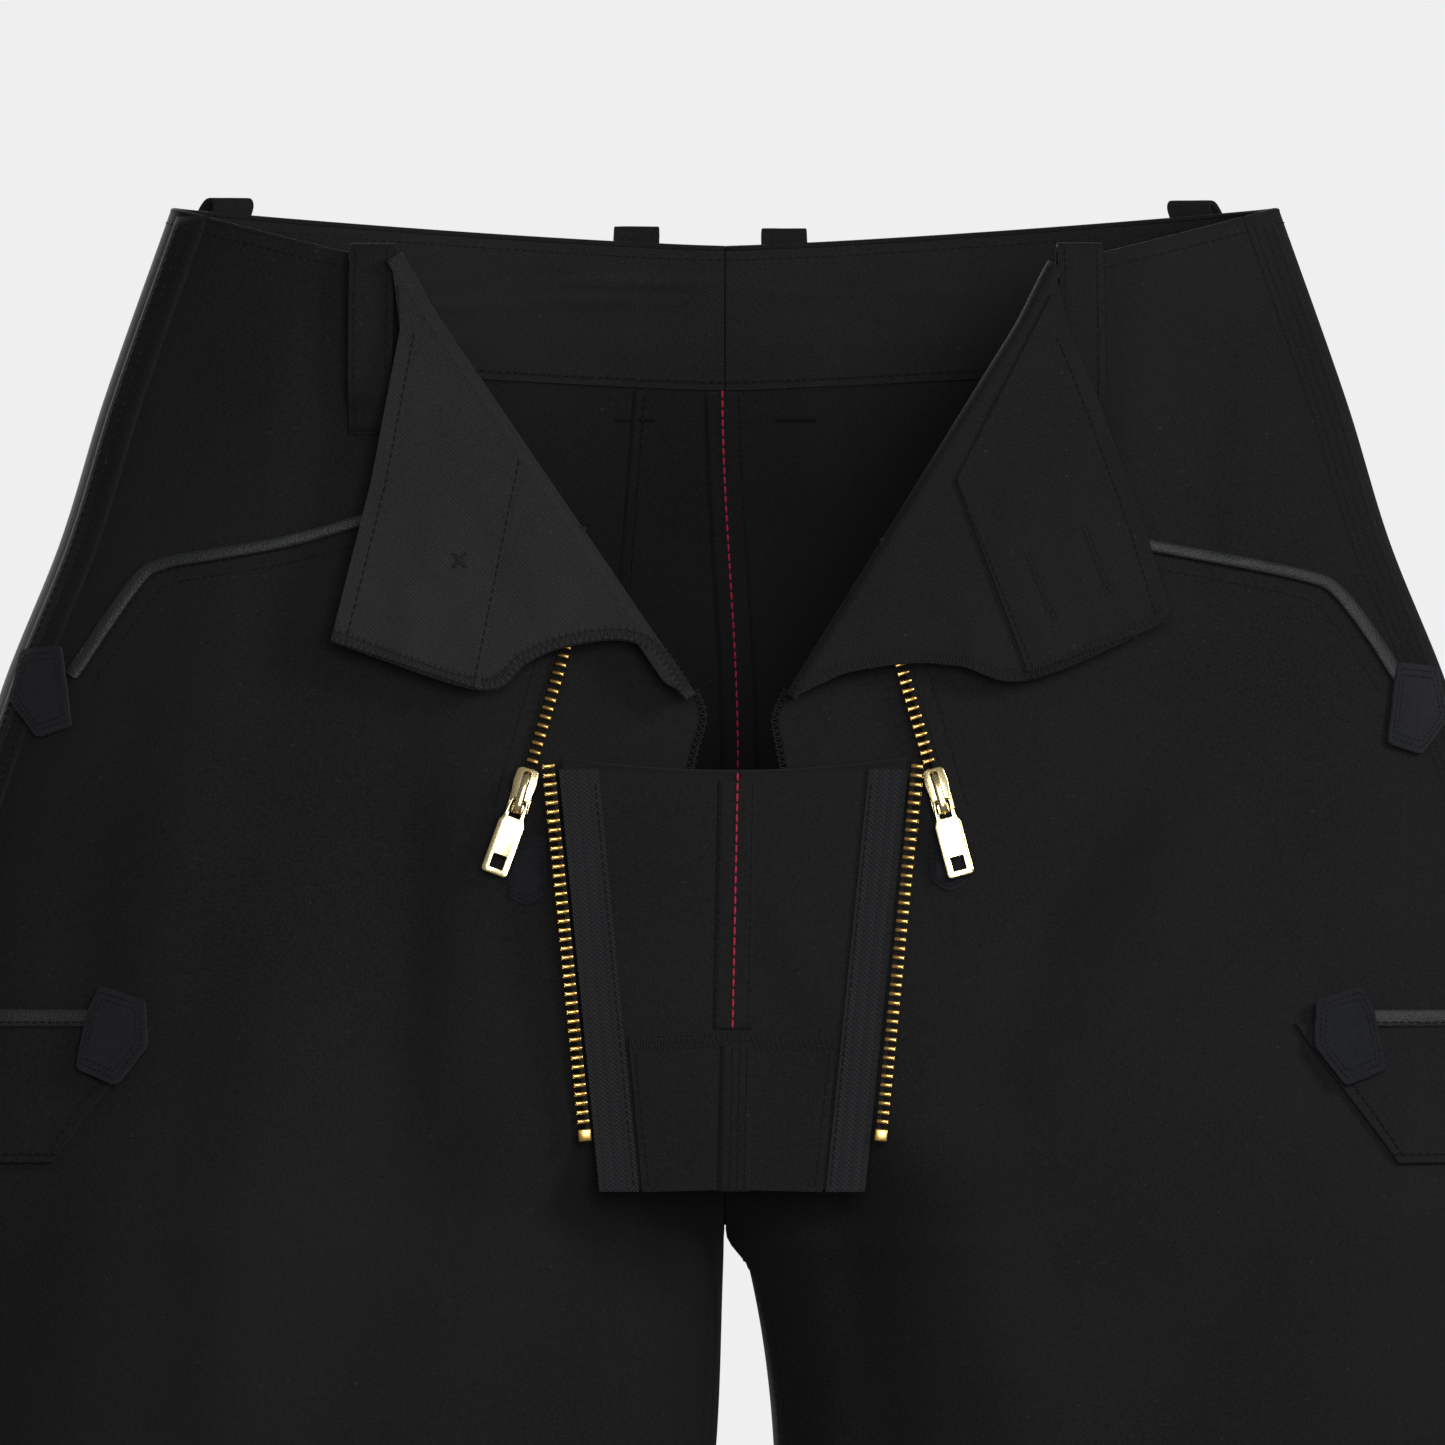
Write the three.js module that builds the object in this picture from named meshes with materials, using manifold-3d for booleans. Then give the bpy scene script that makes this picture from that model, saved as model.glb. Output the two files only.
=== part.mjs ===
// Work trousers with a drop front, shown open: the fall flap is folded down and both waist tabs are
// turned out. Millimetres, +Z up, front towards -Y, the wearer's left towards +X.
// The origin is the middle of the waist, level with the top edge at the centre back.
import * as THREE from 'three';
import { mergeVertices } from 'three/addons/utils/BufferGeometryUtils.js';
import Module from 'manifold-3d';

// ---- driving dimensions ----
const clothThickness = 1.8;
const facingThickness = 1.2;
const tapeThickness = 0.8;
const seamGap = 0.2; // half the gap that neighbouring panels keep
const layerGap = 0.35; // the gap between one layer of cloth and the next
const sideRise = 12.6; // the waist edge is this much higher at the side seams than at the centre back
const frontDip = 40; // how fast the front edge drops from the side seam towards the opening
const forkZ = -348; // height of the crotch point
const forkStartZ = -215; // below this height each leg begins to round off on its own
const hemZ = -1095;
const roundness = 2.5; // exponent of the cross-sections: 2 is an ellipse
const waistFacingDepth = 49;
const flapFoldZ = -181;
const flapLength = 151;
const flapLift = 11; // the folded flap stands this far off the front at its fold
const flapLean = 0.035; // and this much more for each millimetre further down
const flapSeamTop = 4.5; // X of the flap's centre seam at the fold and at the free edge
const flapSeamEnd = 1.4;
const flapBandDepth = 55; // the doubled band along the flap's free edge
const flapTapeWidth = 15;
const toothPitch = 3.2;
const toothLength = 3.1;
const beadWidth = 1.4;
const chainThickness = 2;
const flapTeeth = 38;
const flapChainStart = 8;
const tabLift = 9; // a turned-out tab stands this far off the front along its fold
const tabLiftOuter = 14; // and this far at its outer corner
const tabInset = 1; // a tab begins this far outside its fold line
const loopWidth = 16;
const loopLength = 66;
const loopLift = 7.2;
const loopThickness = 1.4;
const loopRise = 4.5; // a loop's top stands this far above the waist edge
const trimLift = 1.5; // pockets, patches and pipings stand this far off the panels' facets
const pipingWidth = 3.6;
const pipingThickness = 2.4;
const thighPipingWidth = 6.2;
const thighPocketTopZ = -270;
const thighPocketBottomZ = -322;
const buttonRadius = 8.5;
const buttonThickness = 3;
const pullLength = 28;
const pullWidth = 9.6;
const pullThickness = 1.2;
const pullHeight = 6.5; // height of the pull's pivot over the cloth
const sliderWidth = 8.6;
const sliderLength = 16.5;
const sliderFoot = -14; // where the slider ends, past the lower end of the slit
const bridgeLength = 14.5;
const pullDrop = 4; // from the bridge's lower end up to the pull's pivot
const frontChainStart = 4.6; // the first tooth, from the lower end of the slit
const sliderChannel = 5.6; // clear width between the slider's flanges
const sliderPlate = [3.7, 5.1]; // heights of the underside and the top of the slider's plate
const bridgeHeight = 9;

// Half sections of the body from the waist down to the hem: outer is the side seam, inner the inseam,
// lean shifts both inseams sideways, front and back are the depths of the front and back halves.
const stations = [
  { z: 13, outer: 195, inner: 0, lean: 0, front: 52, back: 60 },
  { z: -55, outer: 219, inner: 0, lean: 0, front: 60, back: 78 },
  { z: -104, outer: 234, inner: 0, lean: 0, front: 67, back: 92 },
  { z: -157, outer: 255, inner: 0, lean: 0, front: 76, back: 102 },
  { z: -250, outer: 283, inner: 0, lean: 0, front: 86, back: 108 },
  { z: -348, outer: 293, inner: 0.4, lean: 0, front: 88, back: 102 },
  { z: -361, outer: 293, inner: 4.7, lean: 4, front: 87, back: 100 },
  { z: -421, outer: 292, inner: 10, lean: 7, front: 84, back: 92 },
  { z: -650, outer: 274, inner: 24, lean: 2, front: 70, back: 74 },
  { z: -1095, outer: 296, inner: 20, lean: 0, front: 66, back: 68 },
];
const panelRows = [13, -30, -70, -110, -150, -184, -215, -250, -280, -305, -325, -340, -348, -361,
  -385, -421, -530, -650, -800, -950, hemZ];

// The two halves of the front. foldTop to foldEnd is the crease that a tab turns about, zipTop to
// zipEnd the stretch of zip on the front panel, all as X and Z.
const halves = [
  {
    name: 'right', sign: -1, centreLoop: 31.5, sideLoop: 177, frontLoop: 123,
    foldTop: [-114, -8], foldEnd: [-12, -157],
    zipTop: [-46.7, -106], zipEnd: [-70, -186],
    upperZipEnd: [-80, -103],
    underlapEdge: [[-12, -157], [-9, -166], [-12, -177], [-17, -198]],
    tab: [[-114, -30], [-124, -83], [-138, -139], [-86, -156], [-58, -141], [-37, -138]],
    facingSeam: [[-70, -76], [-86, -156]],
    buttons: [[-93, -111], [-113.5, -102]],
    buttonholes: [],
    slantPiping: [[-129, -97], [-152, -104], [-180, -109], [-196, -112], [-206, -119], [-228, -151]],
    upperPatch: [-237, -156],
    thighPatch: [-209, -277],
    zipPatch: [-69, -219],
    flapTop: -58.5, flapEnd: -44, chainTop: -60.5, chainEnd: -48,
    pullTilt: -20,
  },
  {
    name: 'left', sign: 1, centreLoop: 21, sideLoop: 167, frontLoop: 124,
    foldTop: [114, -11], foldEnd: [23, -157],
    zipTop: [52, -110], zipEnd: [74, -186],
    upperZipEnd: [86, -107],
    underlapEdge: [[23, -157], [19, -166], [20, -174], [25, -198]],
    tab: [[121, -30], [131, -55], [147, -99], [156, -129], [149, -135], [106, -153], [65, -147],
      [44, -150]],
    facingSeam: [[79, -83], [106, -150]],
    buttons: [],
    buttonholes: [[110.6, -119], [130.6, -110]],
    slantPiping: [[147, -106], [177, -111], [205, -117], [214, -122], [225, -136], [236, -153]],
    upperPatch: [240, -162],
    thighPatch: [213, -277],
    zipPatch: [78, -214],
    flapTop: 64.4, flapEnd: 49, chainTop: 66, chainEnd: 53.5,
    pullTilt: 15,
  },
];

// ---- finishes ----
function finish(color, roughness, metalness) {
  return new THREE.MeshStandardMaterial({ color, roughness, metalness });
}
const bodyCloth = () => finish(0x1b1b1b, 0.95, 0);
const facingCloth = () => finish(0x1f1f21, 0.95, 0);
const tabTwill = () => finish(0x2d2d2e, 0.9, 0);
const pipingLeather = () => finish(0x2d3231, 0.55, 0);
const patchSuede = () => finish(0x161820, 1, 0);
const zipTapeCloth = () => finish(0x16171c, 0.9, 0);
const brass = () => finish(0xd8a13c, 0.3, 0.9);
const paleBrass = () => finish(0xe6c878, 0.25, 0.9);
const buttonPlastic = () => finish(0x141414, 0.4, 0);

// ---- the surface of the trousers ----
// A smooth curve through the stations for one of their values.
function valueAt(z, key) {
  const last = stations.length - 2;
  let i = 0;
  while (i < last && z < stations[i + 1].z) i += 1;
  const slope = (k) => {
    const a = stations[Math.max(k - 1, 0)];
    const b = stations[Math.min(k + 1, stations.length - 1)];
    return (b[key] - a[key]) / (b.z - a.z);
  };
  const a = stations[i];
  const b = stations[i + 1];
  const span = b.z - a.z;
  const s = Math.min(Math.max((z - a.z) / span, 0), 1);
  const s2 = s * s;
  const s3 = s2 * s;
  return (2 * s3 - 3 * s2 + 1) * a[key] + (s3 - 2 * s2 + s) * span * slope(i)
    + (3 * s2 - 2 * s3) * b[key] + (s3 - s2) * span * slope(i + 1);
}

// The half section on one side: centre and half width across, and both depths. Above the fork the
// centre is the middle of the waist, below it the middle of the leg.
function section(sign, z) {
  const outer = valueAt(z, 'outer');
  const inner = Math.max(valueAt(z, 'inner') + sign * valueAt(z, 'lean'), 0);
  const share = Math.min(Math.max((forkStartZ - z) / (forkStartZ - forkZ), 0), 1);
  const centre = (share ** 1.5) * (outer + inner) / 2;
  return {
    centre, half: outer - centre, inner, front: valueAt(z, 'front'), back: valueAt(z, 'back'),
  };
}

// Y of the front surface over a point given by X and Z.
function frontY(x, z) {
  const s = section(Math.sign(x), z);
  const across = Math.min(Math.abs((Math.abs(x) - s.centre) / s.half), 1);
  return -s.front * (1 - across ** roundness) ** (1 / roundness);
}

// A point of a section by its angle from the side seam: 90 degrees is the middle of the front, and
// negative angles run round the back. lift moves it outwards.
function ringPoint(sign, z, angle, lift) {
  const s = section(sign, z);
  const depth = (angle >= 0 ? s.front : s.back) + lift;
  const power = 2 / roundness;
  const c = Math.cos(angle);
  const across = s.centre + (s.half + lift) * Math.sign(c) * Math.abs(c) ** power;
  const y = -Math.sign(angle) * depth * Math.abs(Math.sin(angle)) ** power;
  return [sign * across, y, z];
}

// The angle at which a section reaches the middle plane or, below the fork, the inseam.
function endAngle(sign, z, lift) {
  const s = section(sign, z);
  const reach = (s.centre - seamGap) / (s.half + lift);
  const inseam = Math.PI - seamGap / 60;
  if (reach >= 1) return inseam;
  return Math.min(Math.PI - Math.acos(Math.sign(reach) * Math.abs(reach) ** (roundness / 2)), inseam);
}

function waistEdgeZ(angle) {
  const c = Math.cos(angle);
  return angle > 0 ? sideRise - frontDip * (1 - c) : sideRise * c;
}

// ---- making closed meshes ----
// Moves every vertex by a function of its three coordinates, and turns the faces outwards again.
function shaped(geometry, move) {
  const plain = geometry.clone();
  plain.deleteAttribute('normal');
  plain.deleteAttribute('uv');
  const merged = mergeVertices(plain, 1e-4);
  const position = merged.attributes.position;
  for (let i = 0; i < position.count; i += 1) {
    const p = move(position.getX(i), position.getY(i), position.getZ(i));
    position.setXYZ(i, p[0], p[1], p[2]);
  }
  const index = merged.index.array;
  let volume = 0;
  const corner = [new THREE.Vector3(), new THREE.Vector3(), new THREE.Vector3()];
  for (let i = 0; i < index.length; i += 3) {
    for (let k = 0; k < 3; k += 1) corner[k].fromBufferAttribute(position, index[i + k]);
    volume += corner[0].dot(corner[1].cross(corner[2]));
  }
  if (volume < 0) {
    for (let i = 0; i < index.length; i += 3) {
      const swapped = index[i];
      index[i] = index[i + 1];
      index[i + 1] = swapped;
    }
  }
  merged.computeVertexNormals();
  return merged;
}

const group = new THREE.Group();
group.name = 'drop_front_trousers';

function addPiece(name, geometry, material) {
  const mesh = new THREE.Mesh(geometry, material);
  mesh.name = name;
  group.add(mesh);
}

function mix(a, b, share) {
  return a + (b - a) * share;
}

// A shell that follows the sections between two angles, along rows of heights.
function ringShell(sign, rows, firstAngle, lastAngle, lift, thickness, columns, topRow) {
  const box = new THREE.BoxGeometry(1, 1, 1, columns, rows.length - 1, 1);
  return shaped(box, (x, y, layer) => {
    const row = Math.round((0.5 - y) * (rows.length - 1));
    const outer = layer > 0 ? lift : lift - thickness;
    const angle = mix(firstAngle(rows[row], outer), lastAngle(rows[row], outer), x + 0.5);
    const p = ringPoint(sign, rows[row], angle, outer);
    return row === 0 && topRow ? ringPoint(sign, topRow(angle), angle, outer) : p;
  });
}

// A piece cut flat from an outline in X and Z and laid on a surface y(x, z). It starts lift off the
// surface and is thickness thick, outwards.
function cutPiece(outline, surface, lift, thickness, holes = []) {
  const shape = new THREE.Shape(outline.map(([x, z]) => new THREE.Vector2(x, z)));
  for (const hole of holes) shape.holes.push(new THREE.Path(hole.map(([x, z]) => new THREE.Vector2(x, z))));
  const flat = new THREE.ExtrudeGeometry(shape, { depth: thickness, bevelEnabled: false });
  return shaped(flat, (x, z, out) => [x, surface(x, z) - lift - out, z]);
}

// Adds points along the sides of an outline, so that it can bend with the surface.
function withSteps(outline, step) {
  const points = [];
  outline.forEach(([x, z], i) => {
    const [nextX, nextZ] = outline[(i + 1) % outline.length];
    const count = Math.max(Math.round(Math.hypot(nextX - x, nextZ - z) / step), 1);
    for (let k = 0; k < count; k += 1) points.push([mix(x, nextX, k / count), mix(z, nextZ, k / count)]);
  });
  return points;
}

// A point by its distance along a line from one X-Z point to another and its distance to the right.
function besideLine(from, to) {
  const length = Math.hypot(to[0] - from[0], to[1] - from[1]);
  const along = [(to[0] - from[0]) / length, (to[1] - from[1]) / length];
  const place = (s, right) => [
    from[0] + along[0] * s + along[1] * right,
    from[1] + along[1] * s - along[0] * right,
  ];
  return { length, along, place };
}

// A rounded line through a few points.
function smoothLine(points, count) {
  const curve = new THREE.SplineCurve(points.map(([x, z]) => new THREE.Vector2(x, z)));
  return curve.getSpacedPoints(count).map((p) => [p.x, p.y]);
}

// The outline of a strip of one width along a line of points.
function strip(points, width) {
  const near = [];
  const far = [];
  points.forEach((p, i) => {
    const before = points[Math.max(i - 1, 0)];
    const after = points[Math.min(i + 1, points.length - 1)];
    const length = Math.hypot(after[0] - before[0], after[1] - before[1]);
    const side = [-(after[1] - before[1]) / length, (after[0] - before[0]) / length];
    near.push([p[0] + side[0] * width / 2, p[1] + side[1] * width / 2]);
    far.unshift([p[0] - side[0] * width / 2, p[1] - side[1] * width / 2]);
  });
  return near.concat(far);
}

function roundOutline([x, z], radius, count) {
  return Array.from({ length: count }, (_, i) => {
    const turn = (2 * Math.PI * i) / count;
    return [x + radius * Math.cos(turn), z + radius * Math.sin(turn)];
  });
}

const wasm = await Module();
wasm.setup();

function solidOf(geometry) {
  return new wasm.Manifold(new wasm.Mesh({
    numProp: 3,
    vertProperties: new Float32Array(geometry.attributes.position.array),
    triVerts: new Uint32Array(geometry.index.array),
  }));
}

function geometryOf(solid) {
  const mesh = solid.getMesh();
  const geometry = new THREE.BufferGeometry();
  geometry.setAttribute('position', new THREE.BufferAttribute(new Float32Array(mesh.vertProperties), 3));
  geometry.setIndex(new THREE.BufferAttribute(new Uint32Array(mesh.triVerts), 1));
  geometry.computeVertexNormals();
  return geometry;
}

// ---- panels ----
// The front opening on one side: the fold of the tab, the zip and the base of the flap.
function openingOutline(half) {
  const high = 40;
  const past = -half.sign;
  return [
    [half.foldTop[0], high], half.foldTop, half.zipTop, half.zipEnd, [past, half.zipEnd[1]], [past, high],
  ];
}

function frontPanel(half) {
  const side = () => seamGap / 50;
  const panel = ringShell(
    half.sign, panelRows, side, (z, lift) => endAngle(half.sign, z, lift), 0, clothThickness, 12, waistEdgeZ,
  );
  const reach = 160;
  const opening = cutPiece(openingOutline(half), () => 0, 0, reach);
  addPiece(`${half.name}_front_panel`, geometryOf(solidOf(panel).subtract(solidOf(opening))), bodyCloth());
}

function backPanel(half) {
  const panel = ringShell(
    half.sign, panelRows, () => -seamGap / 50, (z, lift) => -endAngle(half.sign, z, lift),
    0, clothThickness, 12, waistEdgeZ,
  );
  addPiece(`${half.name}_back_panel`, panel, bodyCloth());
}

function waistFacing(half) {
  const lift = -clothThickness - 1;
  const box = new THREE.BoxGeometry(1, 1, 1, 12, 2, 1);
  const facing = shaped(box, (x, y, layer) => {
    const outer = layer > 0 ? lift : lift - facingThickness;
    const share = mix(0.02, 1, x + 0.5);
    const angle = -share * endAngle(half.sign, -1, outer);
    const z = waistEdgeZ(angle) - 1 - (0.5 - y) * waistFacingDepth;
    return ringPoint(half.sign, z, angle, outer);
  });
  addPiece(`${half.name}_waist_facing`, facing, facingCloth());
}

// ---- belt loops ----
// The angle of a section at which the surface has a given distance from the middle plane.
function angleAt(x, z) {
  return Math.acos((x / section(1, z).half) ** (roundness / 2));
}

// A loop is one strip: sewn down at both ends and bowed out between them. face is 1 on the front
// and -1 on the back, topX and footX are its ends' distances from the middle plane.
function beltLoop(name, sign, face, topX, footX) {
  const topAngle = face * angleAt(topX, 0);
  const topZ = waistEdgeZ(topAngle) + loopRise;
  const endZ = topZ - loopLength;
  const footAngle = face * angleAt(footX, endZ);
  const foot = new THREE.Vector3(...ringPoint(sign, endZ, footAngle, 0));
  const head = new THREE.Vector3(...ringPoint(sign, topZ, topAngle, 0));
  const beside = new THREE.Vector3(...ringPoint(sign, endZ, footAngle + 0.05, 0));
  const up = head.clone().sub(foot).normalize();
  const out = beside.sub(foot).cross(up).normalize();
  if (out.dot(foot) < 0) out.negate();
  const across = up.clone().cross(out);
  const bow = loopLift + loopThickness;
  const low = 1.6;
  const profile = [
    [low, 0], [low + loopThickness, 0], [low + loopThickness, 7], [bow, 12], [bow, loopLength - 10],
    [low + loopThickness + 2, loopLength], [low, loopLength], [low, loopLength - 6],
    [loopLift, loopLength - 12], [loopLift, 14], [low, 9],
  ];
  const shape = new THREE.Shape(profile.map(([n, u]) => new THREE.Vector2(n, u)));
  const band = new THREE.ExtrudeGeometry(shape, { depth: loopWidth, bevelEnabled: false });
  addPiece(name, shaped(band, (n, u, v) => {
    const p = foot.clone().addScaledVector(out, n).addScaledVector(up, u);
    return p.addScaledVector(across, v - loopWidth / 2).toArray();
  }), bodyCloth());
}

// ---- pockets ----
const onFront = (x, z) => frontY(x, z);

function quadPiece(corners, lift, thickness, columns, rows) {
  const box = new THREE.BoxGeometry(1, 1, 1, columns, rows, 1);
  return shaped(box, (u, v, layer) => {
    const top = [mix(corners[0][0], corners[1][0], u + 0.5), mix(corners[0][1], corners[1][1], u + 0.5)];
    const low = [mix(corners[3][0], corners[2][0], u + 0.5), mix(corners[3][1], corners[2][1], u + 0.5)];
    const x = mix(low[0], top[0], v + 0.5);
    const z = mix(low[1], top[1], v + 0.5);
    return [x, frontY(x, z) - lift - (layer > 0 ? thickness : 0), z];
  });
}

function handPocket(half) {
  const m = half.sign;
  const inside = -clothThickness - layerGap - facingThickness - 0.4;
  addPiece(
    `${half.name}_hand_pocket_bag`,
    quadPiece([[m * 124, -92], [m * 214, -122], [m * 226, -262], [m * 128, -270]], inside, facingThickness, 8, 8),
    facingCloth(),
  );
  addPiece(
    `${half.name}_hand_pocket_piping`,
    cutPiece(strip(smoothLine(half.slantPiping, 18), pipingWidth), onFront, trimLift, pipingThickness),
    pipingLeather(),
  );
}

// A patch with its long sides slanted and a point below, mirrored for the other leg.
function patchOutline([x, z], sign, points) {
  return points.map(([px, pz]) => [x - sign * px, z + pz]);
}
const upperPatchShape = [[-7, 14], [7, 15.5], [10.5, -13], [-1.5, -17], [-11, -4]];
const thighPatchShape = [[-5, 17], [10.5, 12], [11, -4], [0, -18], [-13.5, -12], [-9.5, 8]];
const zipPatchShape = [[-6.5, 10], [6.5, 12], [6.5, -9], [0, -13], [-6.5, -10]];

function patches(half) {
  const above = trimLift + pipingThickness + 0.9;
  const upper = patchOutline(half.upperPatch, half.sign, upperPatchShape);
  addPiece(`${half.name}_hand_pocket_patch`, cutPiece(withSteps(upper, 9), onFront, above, 1), patchSuede());
  const thigh = patchOutline(half.thighPatch, half.sign, thighPatchShape);
  addPiece(`${half.name}_thigh_pocket_patch`, cutPiece(withSteps(thigh, 9), onFront, above + 3.2, 1), patchSuede());
  const zip = patchOutline(half.zipPatch, half.sign, zipPatchShape);
  addPiece(`${half.name}_zip_patch`, cutPiece(withSteps(zip, 9), onFront, layerGap, 0.8), patchSuede());
}

function thighPocket(half) {
  const frontAngle = 0.93;
  const backAngle = -0.75;
  const lift = trimLift;
  const rows = [thighPocketTopZ - 3, -288, -305, thighPocketBottomZ];
  const pocket = ringShell(
    half.sign, rows, () => backAngle, () => frontAngle, lift + clothThickness, clothThickness, 14,
  );
  addPiece(`${half.name}_thigh_pocket`, pocket, bodyCloth());
  const edge = [thighPocketTopZ - 3, thighPocketTopZ + thighPipingWidth - 3];
  const piping = ringShell(
    half.sign, edge, () => backAngle, () => frontAngle - 0.05, lift + clothThickness + layerGap + 2, 2, 14,
  );
  addPiece(`${half.name}_thigh_pocket_piping`, piping, pipingLeather());
}

// ---- zips ----
// The comb of one zip half: a bead cord with teeth on one side, as one outline.
function comb(line, teeth, toothSide) {
  const tooth = toothPitch * 0.45;
  const points = [];
  for (let i = 0; i < teeth; i += 1) {
    const s = i * toothPitch;
    points.push(line.place(s, 0));
    points.push(line.place(s, toothSide * toothLength));
    points.push(line.place(s + tooth, toothSide * toothLength));
    points.push(line.place(s + tooth, 0));
  }
  const end = (teeth - 1) * toothPitch + tooth;
  points.push(line.place(end, -toothSide * beadWidth));
  points.push(line.place(0, -toothSide * beadWidth));
  return points;
}

function frontZip(half) {
  const m = half.sign;
  const line = besideLine(half.zipEnd, half.zipTop);
  const teeth = Math.floor((line.length - frontChainStart - 3) / toothPitch);
  const start = besideLine(line.place(frontChainStart, 0), half.zipTop);
  addPiece(
    `${half.name}_front_zip_chain`,
    cutPiece(comb(start, teeth, -m), onFront, trimLift - layerGap, chainThickness),
    brass(),
  );
  const tape = [line.place(2, m * 4.5), line.place(2, -m * 1.5), line.place(line.length - 8, -m * 1.5),
    line.place(line.length - 8, m * 4.5)];
  addPiece(
    `${half.name}_front_zip_tape`,
    cutPiece(withSteps(tape, 16), onFront, -clothThickness - layerGap - tapeThickness, tapeThickness),
    zipTapeCloth(),
  );
}

function underlap(half) {
  const m = half.sign;
  const line = besideLine(half.zipEnd, half.zipTop);
  const outline = [line.place(line.length - 22, m * 5)].concat(
    [[mix(half.zipTop[0], half.foldEnd[0], 0.12), mix(half.zipTop[1], half.foldEnd[1], 0.12)]],
    half.underlapEdge,
    [[half.zipEnd[0] + m * 5, -198]],
  );
  const inside = -clothThickness - 2 * layerGap - tapeThickness - 1.6;
  addPiece(`${half.name}_underlap`, cutPiece(withSteps(outline, 14), onFront, inside, 1.4), bodyCloth());
}

// ---- waist tabs ----
// The plane of a turned-out tab, through both ends of its fold and its outer corner.
function tabPlane(half) {
  const corner = half.tab[half.sign < 0 ? 2 : 3];
  const points = [half.foldTop, half.foldEnd, corner].map(([x, z], i) => (
    new THREE.Vector3(x, frontY(x, z) - (i < 2 ? tabLift : tabLiftOuter), z)));
  const plane = new THREE.Plane().setFromCoplanarPoints(...points);
  return (x, z) => -(plane.normal.x * x + plane.normal.z * z + plane.constant) / plane.normal.y;
}

function waistTab(half) {
  const m = half.sign;
  const plane = tabPlane(half);
  const fold = besideLine(half.foldTop, half.foldEnd);
  const foldStart = fold.place(3, -m * tabInset);
  const foldStop = fold.place(fold.length - 2, -m * tabInset);
  addPiece(
    `${half.name}_waist_tab`,
    cutPiece([foldStart, ...half.tab, foldStop], plane, 0, clothThickness),
    tabTwill(),
  );
  const seam = half.facingSeam;
  const outerEdge = half.tab.filter((p) => (seam[0][0] - p[0]) * m < 0 && Math.abs(p[0]) > Math.abs(seam[1][0]));
  const inset = 0.6;
  const facing = [fold.place(6, -m * (tabInset + inset)), ...outerEdge, seam[1],
    [seam[0][0] + m * 2, seam[0][1]]];
  const holes = half.buttonholes.map(([x, z]) => {
    const slit = besideLine([x - 4.4, z + 11.5], [x + 4.4, z - 11.5]);
    return [slit.place(0, 0.5), slit.place(slit.length, 0.9), slit.place(slit.length, -0.9), slit.place(0, -0.5)];
  });
  addPiece(
    `${half.name}_tab_facing`,
    cutPiece(facing, plane, clothThickness + layerGap, facingThickness, holes),
    tabTwill(),
  );
  half.buttons.forEach((place, i) => {
    const threadHoles = [[1, 1], [1, -1], [-1, -1], [-1, 1]].map(([u, v]) => (
      roundOutline([place[0] + 1.9 * u, place[1] + 1.9 * v], 1, 8)));
    addPiece(
      `waist_button_${i + 1}`,
      cutPiece(roundOutline(place, buttonRadius, 24), plane, -buttonThickness - 0.8, buttonThickness, threadHoles),
      buttonPlastic(),
    );
  });
  const upper = besideLine(fold.place(besideLine(half.foldTop, half.zipTop).length, -m * 4), half.upperZipEnd);
  addPiece(
    `${half.name}_tab_zip_chain`,
    cutPiece(comb(upper, Math.floor(upper.length / toothPitch), m), plane, -chainThickness - layerGap, chainThickness),
    brass(),
  );
}

// ---- fall flap ----
const flapRootY = frontY(1, flapFoldZ) - flapLift;
const onFlap = (x, z) => flapRootY - (flapFoldZ - z) * flapLean;
const flapZ = (down) => flapFoldZ - down;

function fallFlap(half) {
  const m = half.sign;
  const edge = (down) => mix(half.flapTop, half.flapEnd, down / flapLength);
  const seam = (down) => mix(flapSeamTop, flapSeamEnd, down / flapLength) + m * seamGap;
  const bandTop = flapLength - flapBandDepth;
  addPiece(
    `${half.name}_fall_flap`,
    cutPiece(
      [[seam(1), flapZ(1)], [edge(1), flapZ(1)], [edge(flapLength), flapZ(flapLength)],
        [seam(flapLength), flapZ(flapLength)]],
      onFlap, 0, clothThickness,
    ),
    bodyCloth(),
  );
  const tapeInner = (down) => edge(down) - m * (flapTapeWidth - 1);
  addPiece(
    `${half.name}_flap_band`,
    cutPiece(
      [[seam(bandTop), flapZ(bandTop)], [tapeInner(bandTop) - m, flapZ(bandTop)],
        [tapeInner(flapLength) - m, flapZ(flapLength - 1)], [seam(flapLength), flapZ(flapLength - 1)]],
      onFlap, clothThickness + layerGap, clothThickness,
    ),
    bodyCloth(),
  );
  addPiece(
    `${half.name}_flap_zip_tape`,
    cutPiece(
      [[tapeInner(2), flapZ(2)], [edge(2), flapZ(2)], [edge(flapLength), flapZ(flapLength - 1)],
        [tapeInner(flapLength), flapZ(flapLength - 1)]],
      onFlap, clothThickness + layerGap, tapeThickness,
    ),
    zipTapeCloth(),
  );
  const chainEnd = flapChainStart + flapTeeth * toothPitch;
  const chain = besideLine([half.chainTop, flapZ(flapChainStart)], [half.chainEnd, flapZ(chainEnd)]);
  const above = clothThickness + 2 * layerGap + tapeThickness;
  addPiece(
    `${half.name}_flap_zip_chain`,
    cutPiece(comb(chain, flapTeeth, -m), onFlap, above, chainThickness),
    brass(),
  );
  const stopAt = flapTeeth * toothPitch + 1.2;
  const stop = [[0, -1.6], [0, toothLength], [4.2, toothLength], [4.2, -1.6]].map(([s, side]) => (
    chain.place(stopAt + s, -m * side)));
  addPiece(`${half.name}_flap_zip_stop`, cutPiece(stop, onFlap, above, chainThickness + 0.6), brass());
}

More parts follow.
